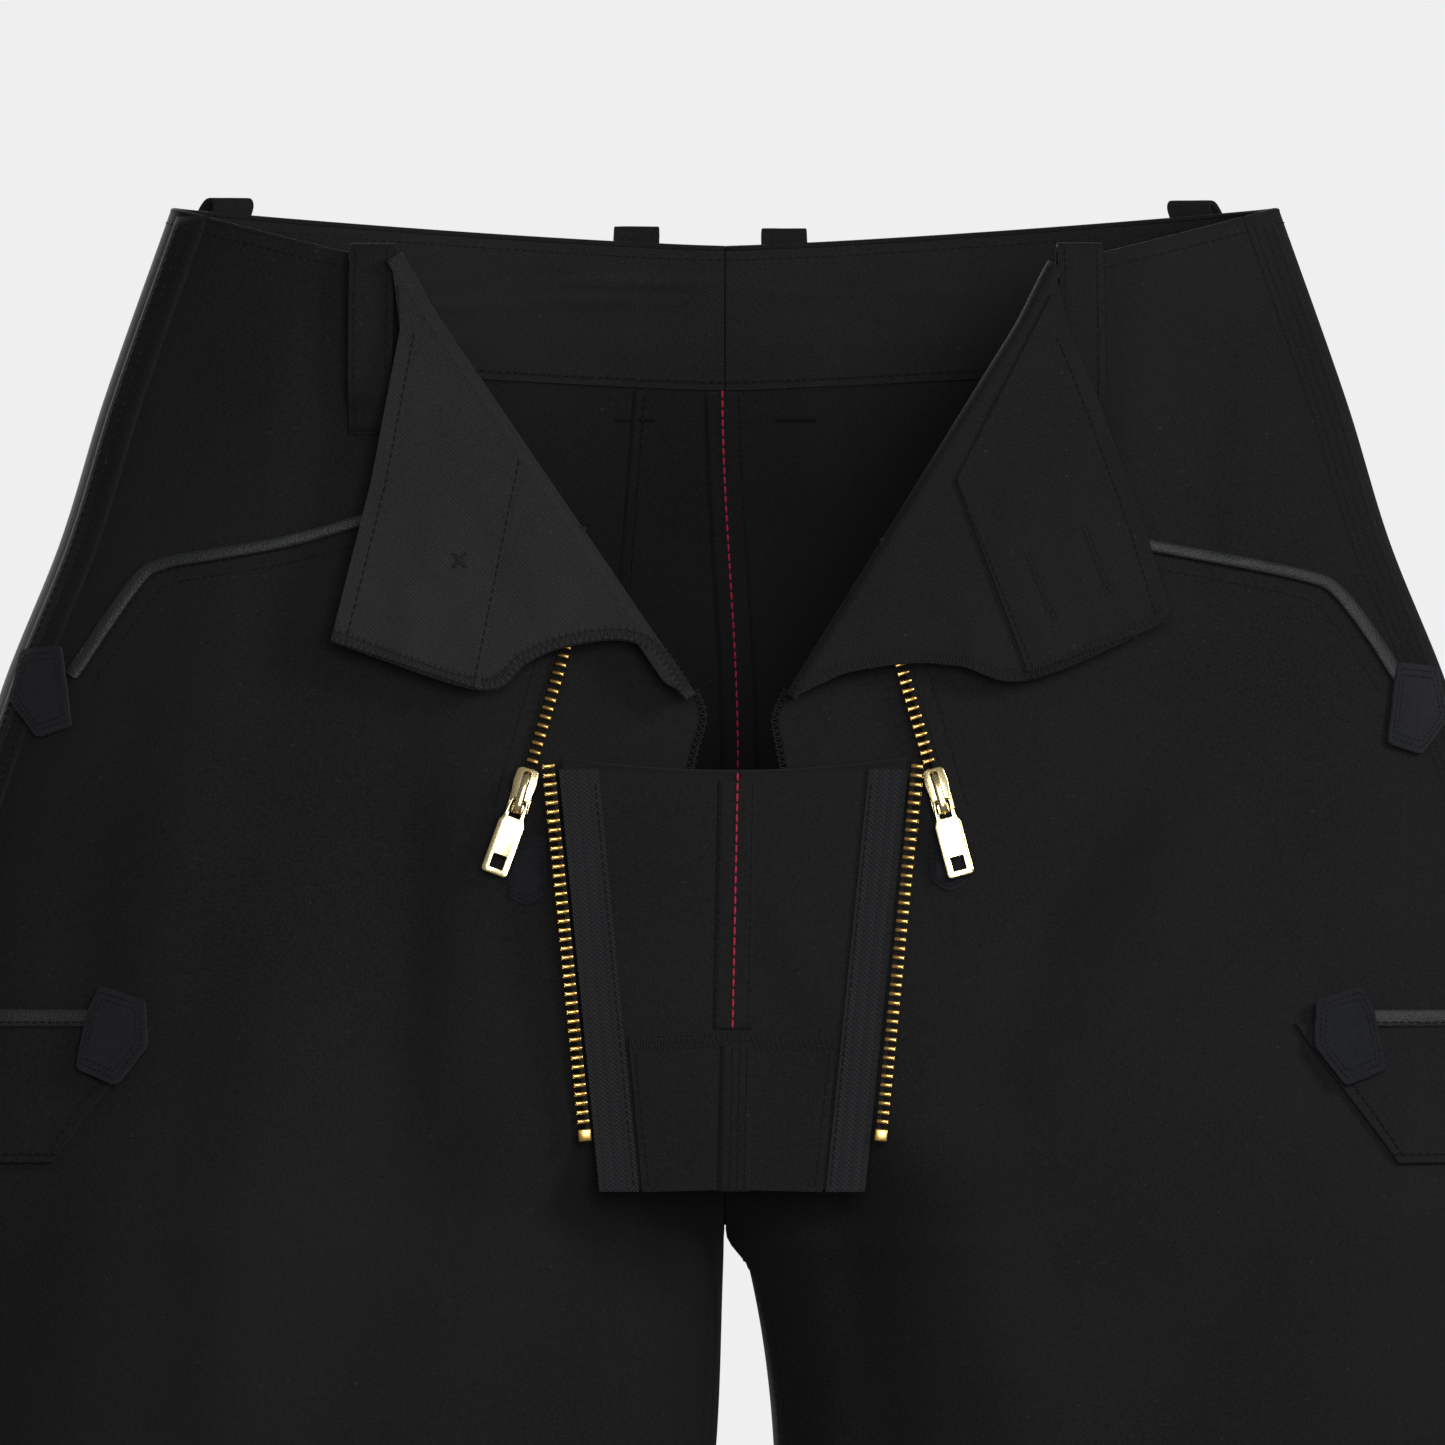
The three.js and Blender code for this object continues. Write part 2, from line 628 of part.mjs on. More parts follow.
// ---- sliders and pulls ----
// The slider is a shield-shaped plate with a flange down each side of the chain. Its bridge is a
// staple over the pull's top bar, along the chain.
function zipSlider(half) {
  const line = besideLine(half.zipEnd, half.zipTop);
  const shift = half.sign * (beadWidth - toothLength) / 2; // the chain's middle lies off its bead line
  const w = sliderWidth / 2;
  const top = sliderFoot + sliderLength;
  const waist = sliderFoot + 6;
  const shoulder = sliderFoot + 11;
  const rightSide = [[sliderFoot, w * 0.72], [waist, w * 0.85], [shoulder, w], [top, w * 0.9]];
  const at = (s, right) => line.place(s, right + shift);
  const leftSide = rightSide.map(([s, right]) => [s, -right]).reverse();
  const shield = rightSide.concat(leftSide).map(([s, right]) => at(s, right));
  let solid = solidOf(cutPiece(shield, onFront, sliderPlate[0], sliderPlate[1] - sliderPlate[0]));
  for (const side of [-1, 1]) {
    const flange = [[sliderFoot + 0.5, sliderChannel / 2], [top - 0.5, sliderChannel / 2], [top - 0.5, w * 0.88],
      [shoulder, w * 0.98], [sliderFoot + 0.5, w * 0.74]].map(([s, right]) => at(s, side * right));
    solid = solid.add(solidOf(cutPiece(flange, onFront, 1.1, sliderPlate[0] - 0.9)));
  }
  const base = sliderPlate[1] - 0.4;
  const bar = 1.2;
  const foot = sliderFoot + 0.5;
  const head = foot + bridgeLength;
  const leg = 1.6;
  const staple = [[foot, base], [foot + leg, base], [foot + leg, bridgeHeight - bar], [head - leg, bridgeHeight - bar],
    [head - leg, base], [head, base], [head, bridgeHeight - bar / 2], [head - leg / 2, bridgeHeight],
    [foot + leg / 2, bridgeHeight], [foot, bridgeHeight - bar / 2]];
  const outline = new THREE.Shape(staple.map(([s, out]) => new THREE.Vector2(s, out)));
  const width = 1.8;
  const straight = new THREE.ExtrudeGeometry(outline, { depth: width, bevelEnabled: false });
  const bridge = shaped(straight, (s, out, right) => {
    const [x, z] = at(s, right - width / 2);
    return [x, frontY(x, z) - out, z];
  });
  addPiece(`${half.name}_zip_slider`, geometryOf(solid.add(solidOf(bridge))), paleBrass());
}

function zipPull(half) {
  const line = besideLine(half.zipEnd, half.zipTop);
  const pivot = line.place(sliderFoot + 0.5 + pullDrop, half.sign * (beadWidth - toothLength) / 2);
  const tilt = THREE.MathUtils.degToRad(half.pullTilt);
  const hang = besideLine(pivot, [pivot[0] + Math.sin(tilt), pivot[1] - Math.cos(tilt)]);
  const h = pullWidth / 2;
  const tip = pullLength - 1;
  const onPull = (points) => points.map(([s, right]) => hang.place(s, right));
  const rightSide = [[-0.8, 3.1], [4, 3.5], [8, h], [tip - 1, h], [tip, h - 1]];
  const leftSide = rightSide.map(([s, right]) => [s, -right]).reverse();
  const eye = onPull([[0.8, -2.1], [0.8, 2.1], [6.2, 2.1], [6.2, -2.1]]);
  const tipHole = onPull([[tip - 7, -2.3], [tip - 7, 2.3], [tip - 2.2, 2.3], [tip - 2.2, -2.3]]);
  addPiece(
    `${half.name}_zip_pull`,
    cutPiece(
      onPull(rightSide.concat(leftSide)), onFront, pullHeight - pullThickness / 2, pullThickness, [eye, tipHole],
    ),
    paleBrass(),
  );
}

for (const half of halves) {
  frontPanel(half);
  backPanel(half);
  waistFacing(half);
  const { centreLoop, sideLoop, frontLoop } = half;
  beltLoop(`${half.name}_centre_back_loop`, half.sign, -1, centreLoop, centreLoop + 2);
  beltLoop(`${half.name}_side_back_loop`, half.sign, -1, sideLoop, sideLoop + 22);
  beltLoop(`${half.name}_front_loop`, half.sign, 1, frontLoop, frontLoop + 1);
  handPocket(half);
  patches(half);
  thighPocket(half);
  frontZip(half);
  underlap(half);
  waistTab(half);
  fallFlap(half);
  zipSlider(half);
  zipPull(half);
}

export default group;
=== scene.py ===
# Black work trousers with a drop front, shown open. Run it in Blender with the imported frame.
from functools import lru_cache
from math import acos, ceil, cos, exp, hypot, pi, radians, sin

import bmesh
import bpy
from mathutils import Matrix, Vector, noise


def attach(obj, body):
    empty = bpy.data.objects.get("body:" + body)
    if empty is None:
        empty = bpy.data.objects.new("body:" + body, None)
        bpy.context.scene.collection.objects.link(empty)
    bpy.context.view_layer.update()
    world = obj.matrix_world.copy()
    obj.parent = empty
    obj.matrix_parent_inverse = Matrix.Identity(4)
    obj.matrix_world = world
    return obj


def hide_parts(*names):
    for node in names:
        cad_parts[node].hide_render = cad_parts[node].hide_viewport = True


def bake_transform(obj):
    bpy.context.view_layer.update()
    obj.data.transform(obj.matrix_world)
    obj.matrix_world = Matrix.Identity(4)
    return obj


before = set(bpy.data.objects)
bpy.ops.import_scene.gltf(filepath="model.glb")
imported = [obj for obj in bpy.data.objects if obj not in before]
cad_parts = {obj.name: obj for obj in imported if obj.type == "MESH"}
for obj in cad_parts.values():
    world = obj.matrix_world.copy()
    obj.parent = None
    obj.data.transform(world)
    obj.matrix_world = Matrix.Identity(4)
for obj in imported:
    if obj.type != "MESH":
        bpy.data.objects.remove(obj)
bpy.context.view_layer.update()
scene = bpy.context.scene
toMetres = 0.001  # the sizes below are in millimetres, and a piece is scaled when it is finished

# ---- the body's surface ----
body = {
    "clothThickness": 1.8,
    "sideRise": 12.6,  # the waist edge at the side seams, over the centre back
    "frontDip": 40.0,  # how fast the front edge drops towards the opening
    "forkZ": -348.0,
    "forkStartZ": -215.0,
    "hemZ": -1095.0,
    "roundness": 2.5,  # 2 is an ellipse
    "seamGap": 0.2,
    "waistFacingDepth": 49.0,
    "foldDepth": 2.5,  # scales the ridges below
}
stations = [  # z, outer, inner, lean, front, back
    (13, 195, 0, 0, 52, 60),
    (-55, 219, 0, 0, 60, 78),
    (-104, 234, 0, 0, 67, 92),
    (-157, 255, 0, 0, 76, 102),
    (-250, 283, 0, 0, 86, 108),
    (-348, 293, 0.4, 0, 88, 102),
    (-361, 293, 4.7, 4, 87, 100),
    (-421, 292, 10, 7, 84, 92),
    (-650, 274, 24, 2, 70, 74),
    (-1095, 296, 20, 0, 66, 68),
]
halves = {
    "right": {
        "sign": -1, "centreLoop": 31.5, "sideLoop": 177, "frontLoop": 123,
        "foldTop": (-114, -8), "foldEnd": (-12, -157), "zipTop": (-46.7, -106), "zipEnd": (-70, -186),
        "underlapEdge": [(-12, -157), (-9, -166), (-12, -177), (-17, -198)],
        "tab": [(-114, -30), (-124, -83), (-138, -139), (-86, -156), (-70, -147), (-58, -141.5),
                (-37, -138.5), (-24, -144)],
        "tabCorner": 2, "facingSeam": [(-70, -76), (-86, -156)], "buttonholes": [],
        "upperZipEnd": (-80, -103),
        "slantPiping": [(-124, -96), (-152, -104), (-180, -109), (-196, -112), (-206, -119), (-228, -151)],
        "upperPatch": (-237, -156), "thighPatch": (-209, -277), "zipPatch": (-69, -219),
        "flapTop": -58.5, "flapEnd": -44, "chainTop": -60.5, "chainEnd": -48, "pullTilt": -20.0,
    },
    "left": {
        "sign": 1, "centreLoop": 21, "sideLoop": 167, "frontLoop": 124,
        "foldTop": (114, -11), "foldEnd": (23, -157), "zipTop": (52, -110), "zipEnd": (74, -186),
        "underlapEdge": [(23, -157), (19, -166), (20, -174), (25, -198)],
        "tab": [(121, -30), (131, -55), (147, -99), (156, -129), (149, -135), (106, -153), (82, -148),
                (65, -147), (44, -150), (34, -154)],
        "tabCorner": 3, "facingSeam": [(79, -83), (106, -150)], "buttonholes": [(110.6, -119), (130.6, -110)],
        "upperZipEnd": (86, -107),
        "slantPiping": [(144, -105), (177, -111), (205, -117), (214, -122), (225, -136), (236, -153)],
        "upperPatch": (240, -162), "thighPatch": (213, -277), "zipPatch": (78, -214),
        "flapTop": 64.4, "flapEnd": 49, "chainTop": 66, "chainEnd": 53.5, "pullTilt": 15,
    },
}
ridges = {  # long soft folds: x and z of both ends, half width, height
    1: [
        (152, 0, 140, -95, 12, 2.2), (175, -5, 168, -120, 10, -2.0), (200, -40, 150, -225, 24, 2.6),
        (178, -150, 95, -250, 20, -3.4), (200, -190, 105, -320, 26, 3.4), (232, -250, 150, -420, 20, -2.6),
        (262, -275, 215, -420, 18, 2.4), (60, -280, 120, -460, 24, 2.2), (40, -330, 62, -520, 14, -2.6),
        (-178, -120, -205, -260, 20, 2.6), (-112, -190, -118, -330, 26, -2.8),
        (-160, -250, -175, -430, 22, 2.4), (-225, -230, -262, -420, 22, -2.4),
        (-150, -10, -160, -90, 16, 1.4), (-60, -290, -110, -470, 24, 2.0),
        (-35, -340, -48, -520, 14, -2.2), (-185, -20, -205, -95, 12, -1.4),
    ],
    -1: [
        (60, -300, 190, -380, 22, 3.0), (-55, -310, -185, -390, 22, 2.8), (40, -345, 150, -430, 16, -2.8),
        (-40, -350, -150, -440, 16, -2.6), (110, -60, 140, -250, 30, 2.2), (-120, -70, -150, -260, 30, 2.0),
        (200, -120, 240, -330, 18, -2.0), (-205, -110, -242, -320, 18, -2.0), (30, -60, 45, -200, 16, -1.4),
        (70, -640, 250, -600, 16, 3.2), (-70, -650, -250, -610, 16, 3.0), (80, -680, 240, -700, 14, -2.6),
        (-80, -690, -240, -705, 14, -2.6), (90, -720, 250, -770, 18, 2.4), (-90, -730, -250, -775, 18, 2.4),
    ],
}


def mix(a, b, share):
    return a + (b - a) * share


def smooth(share):
    share = min(max(share, 0.0), 1.0)
    return share * share * (3 - 2 * share)


def signed(value, power):
    return (abs(value) ** power) * (1 if value >= 0 else -1)


@lru_cache(maxsize=None)
def section(sign, z):  # centre, half width, front depth and back depth of one half at a height
    last = len(stations) - 2
    i = 0
    while i < last and z < stations[i + 1][0]:
        i += 1
    a, b = stations[i], stations[i + 1]
    before, after = stations[max(i - 1, 0)], stations[min(i + 2, last + 1)]
    span = b[0] - a[0]
    s = min(max((z - a[0]) / span, 0), 1)
    values = []
    for key in range(1, 6):
        slopeA = (b[key] - before[key]) / (b[0] - before[0])
        slopeB = (after[key] - a[key]) / (after[0] - a[0])
        values.append((2 * s**3 - 3 * s**2 + 1) * a[key] + (s**3 - 2 * s**2 + s) * span * slopeA
                      + (3 * s**2 - 2 * s**3) * b[key] + (s**3 - s**2) * span * slopeB)
    outer, inner, lean, front, back = values
    inner = max(inner + sign * lean, 0)
    share = min(max((body["forkStartZ"] - z) / (body["forkStartZ"] - body["forkZ"]), 0), 1)
    centre = share**3 * (4 - 3 * share) * (outer + inner) / 2
    return centre, outer - centre, front, back


def softFold(face, x, z):  # how far the cloth stands off its plain section
    lift = 1.3 * noise.noise(Vector((x / 62, face * 7, z / 110)))
    lift += 0.35 * noise.noise(Vector((x / 21 + 9, face * 3, z / 40)))
    lift += 3.4 * smooth((-400 - z) / 200) * noise.noise(Vector((x / 40, face * 5, z / 210)))
    for x0, z0, x1, z1, width, height in ridges[face]:
        dx, dz = x1 - x0, z1 - z0
        along = ((x - x0) * dx + (z - z0) * dz) / (dx * dx + dz * dz)
        if -0.3 < along < 1.3:
            away = hypot(x - x0 - dx * along, z - z0 - dz * along) / width
            if away < 3:
                ends = smooth(min(along + 0.3, 1.3 - along) / 0.5)
                lift += body["foldDepth"] * height * exp(-away * away) * ends
    if face > 0:  # the cloth lies calm around the zips
        lift *= max(smooth((abs(x) - 84) / 30), smooth((-262 - z) / 60))
    return lift


def bodyPoint(sign, z, angle, lift=0.0):  # angle 0 is the side seam, 90 degrees the middle of the front
    centre, half, front, back = section(sign, z)
    c = cos(angle)
    power = 2 / body["roundness"]
    face = 1 if angle >= 0 else -1
    depth = (front if face > 0 else back) + lift
    x = sign * (centre + (half + lift) * signed(c, power))
    y = -face * depth * abs(sin(angle)) ** power
    flat = 1 - abs(c) ** 2.5
    return Vector((x, y - face * softFold(face, x, z) * flat, z))


def endAngle(sign, z):  # where a section reaches the middle plane or, below the fork, the inseam
    centre, half, front, back = section(sign, z)
    reach = (centre - body["seamGap"]) / half
    inseam = pi - 0.003
    if reach >= 1:
        return inseam
    return min(pi - acos(signed(reach, body["roundness"] / 2)), inseam)


def angleOf(x, z):
    centre, half, front, back = section(1 if x >= 0 else -1, z)
    across = min(max((abs(x) - centre) / half, -1.0), 1.0)
    return acos(signed(across, body["roundness"] / 2))


def waistEdgeZ(angle):
    c = cos(angle)
    return body["sideRise"] - body["frontDip"] * (1 - c) if angle > 0 else body["sideRise"] * c


def onFront(x, z, lift=0.0):
    return bodyPoint(1 if x >= 0 else -1, z, angleOf(x, z), lift)


def onBack(x, z, lift=0.0):
    return bodyPoint(1 if x >= 0 else -1, z, -angleOf(x, z), lift)


def nearZip(x, z, lift=0.0):  # the plain front, without folds, for the zips' metal
    centre, half, front, back = section(1 if x >= 0 else -1, z)
    across = min(abs((abs(x) - centre) / half), 1)
    return Vector((x, -front * (1 - across ** body["roundness"]) ** (1 / body["roundness"]) - lift, z))


# ---- drawing on the cloth ----
class Line:  # a straight line in X and Z, with places given by the way along it and to its right
    def __init__(self, start, end):
        self.start, self.end = start, end
        self.length = hypot(end[0] - start[0], end[1] - start[1])
        self.along = ((end[0] - start[0]) / self.length, (end[1] - start[1]) / self.length)

    def at(self, s, right=0.0):
        return (self.start[0] + self.along[0] * s + self.along[1] * right,
                self.start[1] + self.along[1] * s - self.along[0] * right)

    def meets(self, other):  # how far along this line the other one crosses it
        dx, dz = other.start[0] - self.start[0], other.start[1] - self.start[1]
        cross = self.along[0] * other.along[1] - self.along[1] * other.along[0]
        return (dx * other.along[1] - dz * other.along[0]) / cross


def spaced(points, count):  # the same path in equal steps
    points = [Vector(p) for p in points]
    lengths = [0.0]
    for a, b in zip(points, points[1:]):
        lengths.append(lengths[-1] + (b - a).length)
    made, i = [], 0
    for k in range(count + 1):
        want = lengths[-1] * k / count
        while i < len(points) - 2 and lengths[i + 1] < want:
            i += 1
        step = max(lengths[i + 1] - lengths[i], 1e-9)
        made.append(points[i].lerp(points[i + 1], min((want - lengths[i]) / step, 1)))
    return made


def rounded(points, count=60):  # a smooth line through a few points
    points = [Vector(p) for p in points]
    ends = [points[0] * 2 - points[1]] + points + [points[-1] * 2 - points[-2]]
    made = []
    for p0, p1, p2, p3 in zip(ends, ends[1:], ends[2:], ends[3:]):
        for k in range(12):
            t = k / 12
            made.append(0.5 * (2 * p1 + (p2 - p0) * t + (2 * p0 - 5 * p1 + 4 * p2 - p3) * t**2
                               + (3 * p1 - p0 - 3 * p2 + p3) * t**3))
    made.append(points[-1])
    return spaced(made, count)


def beside(points, offset):  # a line parallel to a line in X and Z
    made = []
    for i, p in enumerate(points):
        before, after = Vector(points[max(i - 1, 0)]), Vector(points[min(i + 1, len(points) - 1)])
        way = (after - before).normalized()
        made.append(Vector((p[0] - way.y * offset, p[1] + way.x * offset)))
    return made


def laid(points, surface, lift=0.0, count=None):  # a flat line put on a surface
    count = count or max(int(sum((Vector(b) - Vector(a)).length for a, b in zip(points, points[1:])) / 2), 1)
    return [surface(p.x, p.y, lift) for p in spaced([Vector((p[0], p[1])) for p in points], count)]


def outlineArea(outline):  # in square metres
    area = 0.0
    for (ax, az), (bx, bz) in zip(outline, outline[1:] + outline[:1]):
        area += (ax * bz - bx * az) / 2
    return abs(area) * toMetres**2


def insideOutline(x, z, outline):
    inside = False
    for (ax, az), (bx, bz) in zip(outline, outline[1:] + outline[:1]):
        if (az > z) != (bz > z) and x < (bx - ax) * (z - az) / (bz - az) + ax:
            inside = not inside
    return inside


# ---- meshes ----
def clothGrid(columns, rows, place, size=(0.1, 0.1)):  # place gives a point for u and v, both 0 to 1
    bm = bmesh.new()
    bmesh.ops.create_grid(bm, x_segments=columns, y_segments=rows, size=0.5)
    weave = bm.loops.layers.uv.new("weave")
    for face in bm.faces:
        for loop in face.loops:
            loop[weave].uv = ((loop.vert.co.x + 0.5) * size[0], (loop.vert.co.y + 0.5) * size[1])
    for vert in bm.verts:
        vert.co = place(vert.co.x + 0.5, vert.co.y + 0.5)
    return bm


def turned(bm, outward):  # faces look outward, a vector or a function of a face's middle
    total = 0.0
    bm.normal_update()
    for face in bm.faces:
        way = outward(face.calc_center_median()) if callable(outward) else Vector(outward)
        total += face.normal.dot(way) * face.calc_area()
    if total < 0:
        bmesh.ops.reverse_faces(bm, faces=bm.faces)
    return bm


def cutAlong(bm, outline, keepInside=True):  # cuts a sheet along an outline in X and Z
    for (ax, az), (bx, bz) in zip(outline, outline[1:] + outline[:1]):
        reach = hypot(bx - ax, bz - az) / 2 + 8
        middle = Vector(((ax + bx) / 2, 0, (az + bz) / 2))
        near = []
        for face in bm.faces:
            centre = face.calc_center_median()
            if hypot(centre.x - middle.x, centre.z - middle.z) < reach:
                near.append(face)
        parts = list({v for f in near for v in f.verts}) + list({e for f in near for e in f.edges}) + near
        bmesh.ops.bisect_plane(bm, geom=parts, dist=1e-4, plane_co=(ax, 0, az),
                               plane_no=(bz - az, 0, ax - bx))
    gone = []
    for face in bm.faces:
        centre = face.calc_center_median()
        if insideOutline(centre.x, centre.z, outline) != keepInside:
            gone.append(face)
    bmesh.ops.delete(bm, geom=gone, context="FACES")


def cutSheet(outline, surface, lift=0.0, step=3.0, holes=()):  # a piece cut flat, then laid on a surface
    low = (min(p[0] for p in outline) - 1, min(p[1] for p in outline) - 1)
    high = (max(p[0] for p in outline) + 1, max(p[1] for p in outline) + 1)
    size = (high[0] - low[0], high[1] - low[1])
    columns, rows = ceil(size[0] / step), ceil(size[1] / step)
    bm = clothGrid(columns, rows, lambda u, v: Vector((mix(low[0], high[0], u), 0, mix(low[1], high[1], v))),
                   (size[0] * toMetres, size[1] * toMetres))
    cutAlong(bm, [tuple(p) for p in outline])
    for hole in holes:
        cutAlong(bm, [tuple(p) for p in hole], keepInside=False)
    for vert in bm.verts:
        vert.co = surface(vert.co.x, vert.co.z, lift)
    return turned(bm, (0, -1, 0))


def tube(sides, rows, place, closed=False, size=(0.012, 0.3)):  # a sheet rolled up, u runs round it
    bm = clothGrid(sides, rows, place, size)
    bmesh.ops.remove_doubles(bm, verts=bm.verts, dist=1e-4)
    if not closed:
        bmesh.ops.holes_fill(bm, edges=[e for e in bm.edges if e.is_boundary], sides=sides)
    bmesh.ops.recalc_face_normals(bm, faces=bm.faces)
    return bm


def cordAlong(points, wide, high, sides=8, up=Vector((0, -1, 0))):  # a closed tube along a path
    count = len(points) - 1

    def place(u, v):
        i = min(round(v * count), count)
        way = (points[min(i + 1, count)] - points[max(i - 1, 0)]).normalized()
        across = way.cross(up).normalized()
        over = across.cross(way)
        turn = 2 * pi * u
        return points[i] + across * (wide / 2 * cos(turn)) + over * (high / 2 * sin(turn))

    return tube(sides, count, place)


def joined(parts):  # several meshes in one
    bm = bmesh.new()
    for part in parts:
        passing = bpy.data.meshes.new("passing")
        part.to_mesh(passing)
        part.free()
        bm.from_mesh(passing)
        bpy.data.meshes.remove(passing)
    return bm


def threads(segments, radius):  # short lengths of thread, each between two points
    parts = []
    for first in range(0, len(segments), 12):
        bm = bmesh.new()
        for a, b in segments[first:first + 12]:
            way = b - a
            turn = way.to_track_quat("Z", "Y").to_matrix().to_4x4()
            grow = Matrix.Diagonal((radius, radius, way.length / 2 + radius * 0.6, 1))
            matrix = Matrix.Translation((a + b) / 2) @ turn @ grow
            bmesh.ops.create_uvsphere(bm, u_segments=5, v_segments=4, radius=1, matrix=matrix)
        parts.append(bm)
    return joined(parts)


def stitches(points, pitch=3.0, length=2.1, radius=0.3):
    total = sum((b - a).length for a, b in zip(points, points[1:]))
    steps = spaced(points, max(int(total / pitch), 1) * 4)
    share = length / pitch * 2
    made = []
    for i in range(0, len(steps) - 4, 4):
        middle = steps[i + 2]
        way = (steps[i + 4] - steps[i]) / 4
        made.append((middle - way * share, middle + way * share))
    return [threads(made, radius)]


def overlock(points, surface, width, lift=0.4, pitch=2.2, radius=0.24):  # a zigzag of thread over an edge
    total = sum((Vector(b) - Vector(a)).length for a, b in zip(points, points[1:]))
    flat = spaced([Vector((p[0], p[1])) for p in points], max(int(total / pitch), 2) * 2)
    inner = beside(flat, width)
    outer = beside(flat, -0.35)
    path = [surface(*(outer[i] if i % 2 else inner[i]), lift) for i in range(len(flat))]
    edge = [surface(*p, lift - 0.9) for p in outer]
    seam = [surface(*p, lift + 0.1) for p in beside(flat, width * 0.72)]
    return [threads(list(zip(path, path[1:])), radius), threads(list(zip(edge, edge[1:])), radius * 1.3),
            threads(list(zip(seam[::2], seam[2::2])), radius * 0.9)]


def barTack(centre, way, surface, length=14.0, width=1.7, lift=0.4):
    line = Line(centre, (centre[0] + way[0], centre[1] + way[1]))
    path = []
    for i in range(36):
        path.append(surface(*line.at((i / 35 - 0.5) * length, width * (0.5 if i % 2 else -0.5)), lift))
    return threads(list(zip(path, path[1:])), 0.26)


def addPiece(name, bm, material, rides="trousers", replaces=(), thickness=0.0, rim=0.0):
    bmesh.ops.scale(bm, vec=(toMetres,) * 3, verts=bm.verts)
    mesh = bpy.data.meshes.new(name)
    bm.to_mesh(mesh)
    bm.free()
    mesh.materials.append(material)
    mesh.shade_smooth()
    piece = bpy.data.objects.new(name, mesh)
    scene.collection.objects.link(piece)
    if thickness:
        shell = piece.modifiers.new("Thickness", "SOLIDIFY")
        shell.thickness = thickness * toMetres
        shell.offset = -1
    if rim:
        edge = piece.modifiers.new("Rim", "BEVEL")
        edge.width = rim * toMetres
        edge.segments = 2
        edge.limit_method = "ANGLE"
        edge.angle_limit = radians(50)
        edge.harden_normals = True
    if rides:
        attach(piece, rides)
    if replaces:
        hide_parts(*replaces)
    return piece


# ---- materials ----
class Wire:  # a shader socket that can be used in sums
    def __init__(self, graph, socket):
        self.graph, self.socket = graph, socket

    def maths(self, operation, a, b=0.0):
        return self.graph.node("ShaderNodeMath", {"operation": operation}, {0: a, 1: b})

    def __add__(self, other):
        return self.maths("ADD", self, other)

    def __sub__(self, other):
        return self.maths("SUBTRACT", self, other)

    def __rsub__(self, other):
        return self.maths("SUBTRACT", other, self)

    def __mul__(self, other):
        return self.maths("MULTIPLY", self, other)

    __radd__ = __add__
    __rmul__ = __mul__

    def wave(self):  # 0 to 1 and back, once in each whole step
        return self.maths("ABSOLUTE", self.maths("FRACT", self) - 0.5) * 2

    def over(self, limit):
        return self.maths("GREATER_THAN", self, limit)


class Finish:  # a material and its node tree
    def __init__(self, name):
        self.material = bpy.data.materials.new(name)
        self.material.use_nodes = True
        self.tree = self.material.node_tree
        self.tree.nodes.clear()

    def node(self, kind, settings=None, inputs=None, output=0):
        made = self.tree.nodes.new(kind)
        for key, value in (settings or {}).items():
            if key == "stops":
                ramp = made.color_ramp
                ramp.elements[0].position, ramp.elements[1].position = value[0][0], value[-1][0]
                for stop in value[1:-1]:
                    ramp.elements.new(stop[0])
                for element, stop in zip(ramp.elements, value):
                    element.color = stop[1]
            else:
                setattr(made, key, value)
        for key, value in (inputs or {}).items():
            if isinstance(value, Wire):
                self.tree.links.new(value.socket, made.inputs[key])
            else:
                made.inputs[key].default_value = value
        return Wire(self, made.outputs[output]) if made.outputs else None

    def place(self):
        return self.node("ShaderNodeTexCoord", output="Object")

    def weaveUv(self):
        return self.node("ShaderNodeUVMap", {"uv_map": "weave"})

    def parts(self, vector):
        split = self.tree.nodes.new("ShaderNodeSeparateXYZ")
        self.tree.links.new(vector.socket, split.inputs[0])
        return [Wire(self, out) for out in split.outputs]

    def cloudy(self, vector, scale, detail=3.0, roughness=0.5):
        return self.node("ShaderNodeTexNoise", {}, {"Vector": vector, "Scale": scale, "Detail": detail,
                                                    "Roughness": roughness})

    def blend(self, share, a, b):
        return self.node("ShaderNodeMix", {"data_type": "RGBA"}, {0: share, 6: a, 7: b}, output=2)

    def bump(self, height, strength, distance, under=None):
        inputs = {"Height": height, "Strength": strength, "Distance": distance}
        if under:
            inputs["Normal"] = under
        return self.node("ShaderNodeBump", {}, inputs)

    def done(self, colour, roughness, normal=None, **values):
        inputs = {"Base Color": colour, "Roughness": roughness}
        if normal:
            inputs["Normal"] = normal
        inputs.update({key.replace("_", " "): value for key, value in values.items()})
        shader = self.node("ShaderNodeBsdfPrincipled", {}, inputs)
        self.node("ShaderNodeOutputMaterial", {}, {"Surface": shader})
        return self.material


def tone(grey, tint=(1, 1, 1)):
    return (grey * tint[0], grey * tint[1], grey * tint[2], 1)


clothLook = {  # nap and rib are steps in a metre, nap depth is in metres
    "body": {"grey": 0.0074, "tint": (1, 1, 1.04), "lint": 0.03, "nap": 1250, "napDepth": 0.00022, "rib": 0},
    "facing": {"grey": 0.0125, "tint": (1, 1, 1.08), "lint": 0.04, "nap": 1500, "napDepth": 0.00012,
               "rib": 900},
    # the two twill looks below are one cloth: the first has its grey raised as a painted highlight, the
    # second has it lowered as a painted shade
    "twill": {"grey": 0.0165, "tint": (1, 1, 1.0), "lint": 0.04, "nap": 1500, "napDepth": 0.0001, "rib": 620},
    "twillShaded": {"grey": 0.0096, "tint": (1, 1, 1.06), "lint": 0.04, "nap": 1500, "napDepth": 0.0001,
                    "rib": 620},
}


